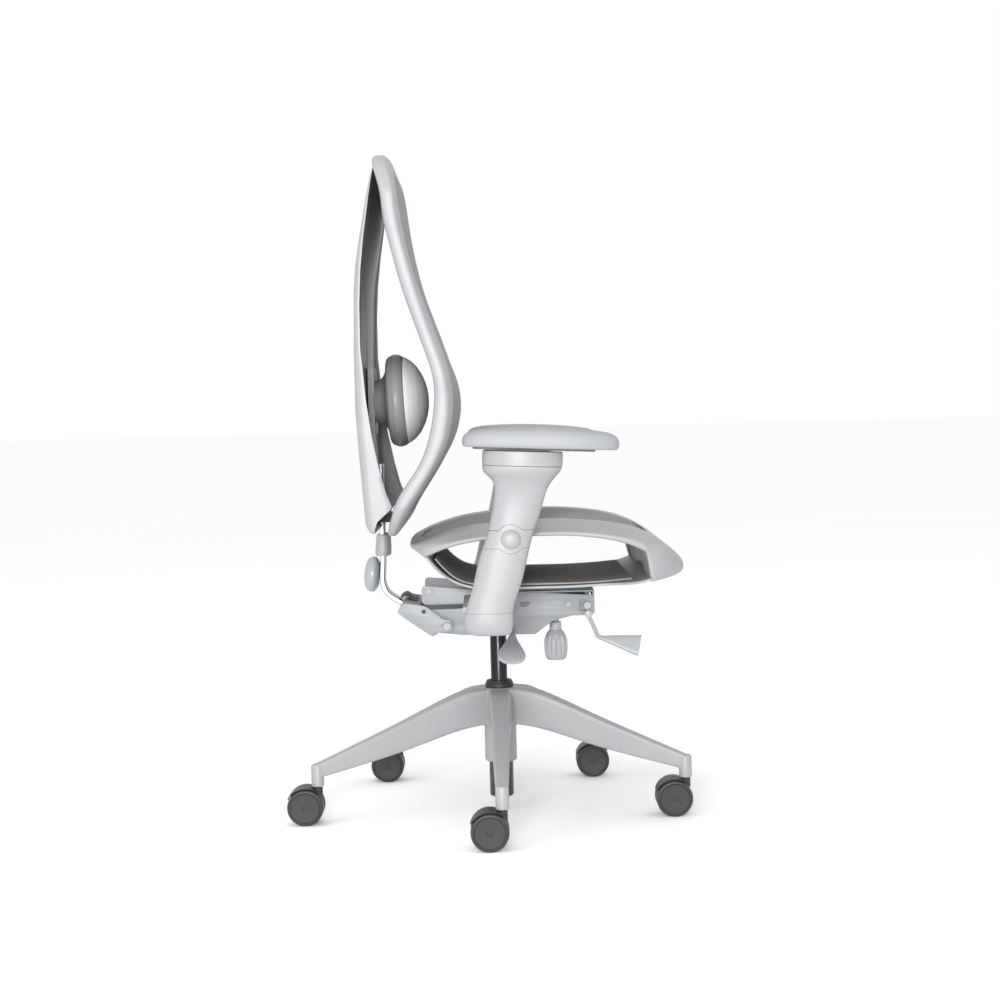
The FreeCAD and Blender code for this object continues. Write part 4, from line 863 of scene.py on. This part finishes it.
def makeArm(tag, side):
    body = "arm_" + tag
    lowSeam, highSeam = arm["seams"]
    low = seamLine(side, lowSeam, -1, arm["island"] + 0.2)
    # lower sleeve: rounded foot, a groove where its end cap joins, then up to the seam
    levels = [330, 330.6, 331.6, 333, 335.5, 338, 341, 346, 352, 358, 363.9, 364.4]
    rings = [columnRing(330, 3)] + [columnRing(z) for z in levels]
    rings += [columnRing(364.7, arm["capGroove"]), columnRing(365.3, arm["capGroove"]), columnRing(365.6)]
    top = np.maximum(low, 366)
    rings += [columnRing(366 + (top - 366) * t) for t in np.linspace(0, 1, 34)[1:]]
    rings += [columnRing(low + 0.25, 0.6)]
    rings += [columnRing(low - (low - 350) * t, 0, arm["inside"]) for t in np.linspace(0, 1, 8)]
    lower = gridPiece("armLowerSleeve_" + tag, [movedArm(rings, side)], sharp=40)
    settle(lower, "carrier", "light_plastic", paleNylon, "arm_lower_sleeve_" + tag)
    # collar between the seams, with its tongue round the button
    floor = seamLine(side, lowSeam + arm["gap"], -1, arm["island"] - 0.2)
    roof = seamLine(side, highSeam, 1, arm["island"] - 0.2)
    rings = [columnRing(floor, 0.6)]
    rings += [columnRing(floor + 0.3 + (roof - floor - 0.6) * t) for t in np.linspace(0, 1, 22)]
    rings += [columnRing(roof, 0.6), columnRing(roof, 0, arm["inside"]), columnRing(floor, 0, arm["inside"])]
    collar = gridPiece("armCollar_" + tag, [movedArm(rings, side)], looped=True, sharp=40)
    settle(collar, body, "light_plastic", paleNylon, "arm_collar_" + tag)
    # upper sleeve up to the pitched plane under the head
    start = seamLine(side, highSeam + arm["gap"], 1, arm["island"] + 0.2)
    plane = columnRing(arm["headZ"])[:, 1]
    end = arm["headZ"] - 0.3 + (plane - arm["headY"]) * math.tan(math.radians(arm["pitch"]))
    rings = [columnRing(start, 0.6)]
    rings += [columnRing(start + 0.3 + (end - start - 0.6) * t) for t in np.linspace(0, 1, 60)]
    rings += [columnRing(end, 0.6)]
    rings += [columnRing(end - (end - start - 2) * t, 0, arm["inside"]) for t in np.linspace(0, 1, 14)]
    upper = gridPiece("armUpperSleeve_" + tag, [movedArm(rings, side)], looped=True, sharp=40)
    settle(upper, body, "light_plastic", paleNylon, "arm_upper_sleeve_" + tag)
    # head: a short oval drum
    c, s = ovalLoop(192, 2.1)
    drum = np.array([np.stack([s * (arm["headHalf"] - i), c * (arm["headRim"] - i), np.full(c.shape, z)], -1)
                     for i, z in arm["drum"]])
    head = gridPiece("armHead_" + tag, [pitched(drum, side)], sharp=40)
    settle(head, body, "light_plastic", paleNylon, "arm_head_" + tag)
    # pad: foam with flat base, rounded sides and a crowned top; each ring is the plan drawn in by a distance
    c, s = ovalLoop(160, arm["padPower"])
    rings = np.array([np.stack([s * (arm["padHalf"] - i),
                                arm["padShift"] + c * (arm["padLong"] - i * (1 if i < 40 else 2)),
                                np.full(c.shape, z)], -1) for i, z in smoothProfile(arm["pad"], 3)])
    # its top falls away towards both ends, by a share that grows with the height above the base
    along = np.abs((rings[..., 1] - arm["padShift"] + 6) / arm["padLong"])
    rings[..., 2] -= arm["padDrop"] * along ** 2.2 * np.clip((rings[..., 2] - 30) / 29, 0, 1)
    pad = gridPiece("armPad_" + tag, [pitched(rings, side)], sharp=50)
    settle(pad, "pad_" + tag, "arm_foam", skinnedFoam, "arm_pad_" + tag)
    # the plate between head and pad, drawn the same way
    c, s = ovalLoop(120, 6)
    rings = np.array([np.stack([s * (arm["plateHalf"] - i), arm["plateShift"] + c * (arm["plateLong"] - i),
                                np.full(c.shape, z)], -1) for i, z in arm["plate"]])
    plate = gridPiece("armPadPlate_" + tag, [pitched(rings, side)], sharp=40)
    settle(plate, "pad_turn_" + tag, "black_plastic", slateNylon, "arm_pad_plate_" + tag)
    centre = (side * (arm["x"] + 13.6), *arm["button"])
    dome = turned(smoothProfile(arm["buttonLine"]), centre, (side, 0, 0), 64)
    button = gridPiece("armButton_" + tag, [dome], sharp=50)
    settle(button, "arm_button_" + tag, "light_plastic", paleNylon, "arm_button_" + tag)


for tag, side in sides.items():
    makeArm(tag, side)
print("lumbar pad and arms made")


# tilt mechanism: pressed plates with softened edges

mechanism = {
    "plate": 3, "carrierHalf": 84, "chassisHalf": 80, "bracketHalf": 89, "corner": 4,
    "carrier": [(-161, 337), (-154, 333), (40, 333), (52, 357), (120, 357), (125, 362), (125, 384), (121, 388.4),
                (50, 381.4), (-158, 366.4), (-161, 364)],
    "carrierTop": [(-161, 362), (-158, 362), (-158, 372), (60, 372), (60, 375), (-161, 375)],
    "carrierHoles": [[(-38, 352), (-46, 350), (-53, 354), (-53, 357.5), (-38, 356.5)],
                     [(-146, 340), (-136, 340), (-136, 359), (-146, 359)]],
    "chassis": [(-155, 340), (-92, 325), (-71, 310), (-62, 303), (60, 305), (98, 310), (110, 330), (110, 348),
                (60, 349), (-118, 361), (-140, 365), (-155, 365)],
    "chassisFloor": [(-155, 340), (-92, 325), (-71, 310), (-62, 303), (60, 305), (96, 309), (96, 312), (60, 308),
                     (-61, 306.2), (-69, 313), (-91, 328.2), (-155, 343.2)],
    "bracket": [(74, 314), (84, 309), (93, 313), (108, 304), (120, 312), (150, 333), (166, 346), (160, 357),
                (152, 361),
                (134, 358), (118, 355), (90, 333), (76, 330)],
    "bracketBlock": [(127, 317), (150, 333), (166, 346), (160, 357), (152, 361), (134, 358), (127, 356.8)],
    "bracketBolt": (92, 122, 346.5),
    "boltHead": [(0, -4), (3.2, -4), (3.2, 0.6), (2.8, 1.2), (1.6, 1.4), (1.4, 0.4), (0, 0.4)],
    "boss": [(14.4, 301.5), (22, 301.5), (24, 303.5), (24, 336), (22, 338), (13.3, 338), (13.3, 313), (14.4, 312),
             (14.4, 301.5)],
    "pinFront": (-149, 350), "pinBack": (84, 321), "pinRadius": 5.3,
    "bend": [(191, 590), (191, 520), (191, 460), (191, 432), (192, 412), (192, 388), (185, 372), (169, 359.5),
             (154, 350)],
    "barHalf": 24, "barThick": 4.5,
    "wave": [(161, 365), (153, 369), (144, 363), (134, 361)],
    "sleeve": [(191, 435.5, 12, 30), (191, 437, 13, 31), (191, 439, 13.5, 31.5), (190.4, 449, 13.4, 31.4),
               (190, 462, 12.6, 30.5), (190, 468, 12, 30), (190, 471, 10.8, 29.4), (190, 472, 9.6, 28.6)],
    "knob": [(0, -9), (4, -9), (4, 0), (17, 0), (20, 0.5), (26, 4), (29, 6.6), (30, 9), (30, 13), (29.2, 15.4),
             (27.4, 18.4),
             (24.6, 21.2), (20.5, 23), (15.5, 24.2), (9, 25.4), (0, 26)],
    "knobPlace": (0, 198.4, 402), "knobTurn": 84,
}


def ringHole(spot, radius, steps=24):
    turn = np.linspace(0, 2 * np.pi, steps, endpoint=False)
    return np.stack([spot[0] + radius * np.cos(turn), spot[1] + radius * np.sin(turn)], -1)


def makeHousings():
    m = mechanism
    side, top = arcs(m["carrier"], m["corner"]), arcs(m["carrierTop"], 1.0, 3)
    holes = [arcs(hole, 1.5, 4) for hole in m["carrierHoles"]] + [ringHole(m["pinFront"], m["pinRadius"])]
    half, plate = m["carrierHalf"], m["plate"]
    parts = [cutPlate("carrierSide", side, holes, start, plate) for start in (-half, half - plate)]
    parts.append(cutPlate("carrierDeck", top, [], -half + 1, 2 * half - 2, 0.4))
    settle(joinedMesh("seatCarrier", parts), "carrier", "grey_steel", powderSteel, "upper_housing")
    side, floor = arcs(m["chassis"], m["corner"]), arcs(m["chassisFloor"], 1.0, 3)
    holes = [ringHole(m["pinFront"], m["pinRadius"]), ringHole(m["pinBack"], m["pinRadius"])]
    half = m["chassisHalf"]
    parts = [cutPlate("chassisSide", side, holes, start, plate) for start in (-half, half - plate)]
    parts.append(cutPlate("chassisFloor", floor, [], -half + 1, 2 * half - 2, 0.4))
    chassis = joinedMesh("lowerHousing", parts)
    # the lower housing takes the darker copy of the powder coat, which is painted shade
    settle(chassis, "chassis", "grey_steel", shadedPowderSteel, "lower_housing")
    boss = gridPiece("liftBoss", [turned(m["boss"], count=72)])
    settle(boss, "chassis", "grey_steel", shadedPowderSteel)
    side, block = arcs(m["bracket"], m["corner"]), arcs(m["bracketBlock"], 2, 4)
    half = m["bracketHalf"]
    holes = [ringHole(m["pinBack"], m["pinRadius"])]
    parts = [cutPlate("bracketSide", side, holes, start, plate) for start in (-half, half - plate)]
    parts.append(cutPlate("bracketBlock", block, [], -half + 1, 2 * half - 2, 0.5))
    settle(joinedMesh("backBracket", parts), "back_arm", "grey_steel", powderSteel, "back_bracket")
    for tag, side in sides.items():
        spot = (side * m["bracketBolt"][0], *m["bracketBolt"][1:])
        head = gridPiece("bracketBolt_" + tag, [turned(m["boltHead"], spot, (side, 0, 0), 32)])
        settle(head, "back_arm", "black_plastic", blackNylon)


def makeBackBar():
    m = mechanism
    path = smoothCurve(m["bend"], 110)
    centre = xyz(0, path[:, 0], path[:, 1])
    bar = gridPiece("backBar", [carried(centre, (1, 0, 0), frames(centre), m["barHalf"], m["barThick"], 7, 48)])
    settle(bar, "back_arm", "bright_steel", zincSteel, "back_bar")
    path = smoothCurve(m["wave"], 40)
    centre = xyz(0, path[:, 0], path[:, 1])
    clip = gridPiece("waveBumper", [carried(centre, (1, 0, 0), frames(centre), 30, 2.4, 4, 40)])
    settle(clip, "back_arm", "black_plastic", blackNylon, "bar_bumper")
    rows = np.array(m["sleeve"])
    c, s = ovalLoop(72, 2.4)
    rings = xyz(c[None, :] * rows[:, 3][:, None], rows[:, 0][:, None] + s[None, :] * rows[:, 2][:, None],
                rows[:, 1][:, None])
    settle(gridPiece("barSleeve", [rings]), "back_arm", "light_plastic", paleNylon, "bar_sleeve")
    turn = math.radians(m["knobTurn"])
    knob = turned(smoothProfile(m["knob"]), m["knobPlace"], (0, math.sin(turn), math.cos(turn)), 96)
    knobPiece = gridPiece("heightDisc", [knob], sharp=40)
    settle(knobPiece, "height_knob", "lever_plastic", leverAcetal, "back_knob")


levers = {
    "height": [(-14, -24, 309.5), (-60, -24, 309.5), (-112, -24, 309.4), (-122, -23.9, 307.8), (-138, -22.6, 300.4),
               (-156, -21.9, 292.4), (-170, -21.4, 286), (-180, -21.1, 281), (-188, -21, 276.4), (-194, -21, 272.6),
               (-197, -21, 270.6)],
    "heightWide": [3.5, 3.5, 3.6, 4.2, 9, 15.5, 20.5, 22.6, 20.5, 14, 6],
    "heightThick": [3.5, 3.5, 3.6, 3.6, 3.4, 3.6, 4.2, 4.4, 4, 3.2, 1.6],
    "slide": [(-96, -148, 337), (-96, -151.5, 330), (-96, -162.4, 304.5), (-96, -165.4, 299), (-96, -171, 296.2),
              (-96, -190, 292), (-96, -212, 286.6), (-96, -233.5, 281.8)],
    "slideWide": [3.2, 3.2, 3.2, 3.2, 3.6, 8, 13, 17.6], "slideThick": [3.2, 3.2, 3.2, 3.2, 3.2, 3.4, 3.8, 4.4],
    "hub": [(0, 0), (5.8, 0), (6.4, 0.6), (6.4, 8.4), (5.8, 9), (2.4, 9.2), (2.4, 17.5), (0, 18)],
    "slideSpread": (0.35, -0.22, 1), "slideHub": (-99.5, -150, 336.5),
    "tension": [(0, 254), (13.6, 254), (15, 254.6), (16, 256), (17.5, 258.6), (18.8, 263), (19.5, 268), (19.8, 276),
                (19.8, 283), (19.2, 288), (18, 292), (16.4, 296), (14, 300), (11.8, 303), (10, 305), (10, 317),
                (9, 318),
                (6, 318.2), (6, 336), (0, 336)],
    "tensionPlace": (-30, -97), "flutes": 12, "fluteDeep": 1.1,
}


def paddle(key, spread):
    # an oval section that grows from a round rod to a flat flared paddle
    path = smoothCurve(levers[key], 90)
    reach = np.concatenate([[0], np.cumsum(np.linalg.norm(np.diff(np.array(levers[key], float), axis=0), axis=1))])
    at = np.linspace(0, reach[-1], 90)
    wide, thick = (np.interp(at, reach, levers[key + word]) for word in ("Wide", "Thick"))
    along = np.gradient(path, axis=0)
    along /= np.linalg.norm(along, axis=1)[:, None]
    spread = np.broadcast_to(np.asarray(spread, float), path.shape)
    wideWay = spread - along * (along * spread).sum(1)[:, None]
    wideWay /= np.linalg.norm(wideWay, axis=1)[:, None]
    power = np.interp(at, [0, reach[-1] * 0.5, reach[-1]], [2.2, 3, 5])
    rings = [carried(path[i:i + 1], wideWay[i], np.cross(along, wideWay)[i], wide[i], thick[i], power[i], 48)[0]
             for i in range(90)]
    return np.array(rings)


def makeLevers():
    height = gridPiece("heightPaddle", [paddle("height", (0, 1, 0.05))], sharp=50)
    settle(softEdges(height, 0.6, 2, 50), "lift_lever", "lever_plastic", leverAcetal, "height_lever")
    hub = turned(levers["hub"], levers["slideHub"], (1, 0, 0), 40)
    slide = gridPiece("slidePaddle", [paddle("slide", levers["slideSpread"]), hub], sharp=50)
    settle(softEdges(slide, 0.6, 2, 50), "slide_lever", "lever_plastic", leverAcetal, "seat_lever")
    profile = smoothProfile(levers["tension"])
    grid = turned(profile, (0, 0, 0), (0, 0, 1), 192)
    turn = np.arctan2(grid[..., 1], grid[..., 0])
    grip = softStep(grid[..., 2], 255, 262) * (1 - softStep(grid[..., 2], 288, 298))
    dent = 1 - levers["fluteDeep"] / 20 * grip * np.clip(np.cos(levers["flutes"] * turn), 0, 1) ** 2 * 2
    grid[..., :2] *= dent[..., None]
    grid[..., :2] += levers["tensionPlace"]
    settle(gridPiece("tensionKnob", [grid], sharp=40), "tension", "lever_plastic", leverAcetal, "tension_knob")


makeHousings()
makeBackBar()
makeLevers()

keptNodes = {
    "front_pin": powderSteel, "back_pin": powderSteel, "torsion_spring": shadedPowderSteel, "housing_bolts": powderSteel,
    "valve_button": zincSteel, "arm_crossbar": powderSteel, "slider_plate": blackEnamel, "seat_rails": blackEnamel,
    "back_carrier": blackNylon, "height_ratchet": blackNylon, "lumbar_slider": paleNylon,
    "arm_post_right": zincSteel, "arm_post_left": zincSteel,
}
for name, material in keptNodes.items():
    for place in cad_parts[name].material_slots:
        place.material = material
print("mechanism made")


# floor, camera and light

studio = {
    "from": (-3.241, 0.0, 0.679), "yaw": -0.16, "pitch": 2.76, "roll": -1.45, "lens": 68.904,
    "sensor": 36, "floorHalf": 60, "world": 1.0,
    # a lamp's place, what it is aimed at, its size in metres and its power in watts
    "lamps": {"keySoftbox": ((-3.8, 0.35, 1.0), (0, 0.12, 0.65), 0.9, 120),
              "sideSoftbox": ((-2.6, 3.0, 2.3), (0, 0.1, 0.6), 1.6, 16),
              "topSoftbox": ((-0.6, 0.4, 3.4), (0, 0, 0.5), 1.8, 14)},
}


def makeStudio():
    half = studio["floorHalf"]
    corners = np.array([(-half, -half, 0), (half, -half, 0), (half, half, 0), (-half, half, 0)], float)
    floor = meshPiece("studioFloor", corners, [(0, 1, 2, 3)], 0)
    material, tree, place = startMaterial("MattWhitePaint")
    clouds = addNode(tree, "ShaderNodeTexNoise", {"Vector": place, "Scale": perMetre(900), "Detail": 2.0})
    base = addNode(tree, "ShaderNodeMix", {0: clouds, 6: hexColour("#fdfdfd"), 7: hexColour("#f9f9f9")}, 2,
                   data_type="RGBA")
    shader = addNode(tree, "ShaderNodeBsdfPrincipled", {"Base Color": base, "Roughness": 0.95, "IOR": 1.5})
    addNode(tree, "ShaderNodeOutputMaterial", {0: shader})
    floor.data.materials.append(material)
    world = bpy.data.worlds.new("PaleRoom")
    world.use_nodes = True
    world.node_tree.nodes["Background"].inputs[0].default_value = (1, 1, 1, 1)
    world.node_tree.nodes["Background"].inputs[1].default_value = studio["world"]
    bpy.context.scene.world = world
    bpy.context.scene.view_settings.view_transform = "Standard"
    for name, (spot, aim, size, power) in studio["lamps"].items():
        lamp = bpy.data.lights.new(name, "AREA")
        lamp.energy = power
        lamp.size = size
        holder = bpy.data.objects.new(name, lamp)
        holder.location = spot
        holder.rotation_euler = (Vector(aim) - Vector(spot)).to_track_quat("-Z", "Y").to_euler()
        bpy.context.scene.collection.objects.link(holder)
    yaw, pitch, roll = (math.radians(studio[key]) for key in ("yaw", "pitch", "roll"))
    ahead = Vector((math.cos(yaw) * math.cos(pitch), math.sin(yaw) * math.cos(pitch), -math.sin(pitch)))
    right = ahead.cross(Vector((0, 0, 1))).normalized()
    up = right.cross(ahead)
    rolledRight = right * math.cos(roll) + up * math.sin(roll)
    rolledUp = up * math.cos(roll) - right * math.sin(roll)
    lens = bpy.data.cameras.new("sideCamera")
    lens.sensor_fit = "HORIZONTAL"
    lens.sensor_width = studio["sensor"]
    lens.lens = studio["lens"]
    camera = bpy.data.objects.new("sideCamera", lens)
    turnedTo = Matrix((rolledRight, rolledUp, -ahead)).transposed().to_4x4()
    camera.matrix_world = Matrix.Translation(studio["from"]) @ turnedTo
    bpy.context.scene.collection.objects.link(camera)
    bpy.context.scene.camera = camera


makeStudio()
print("studio ready")
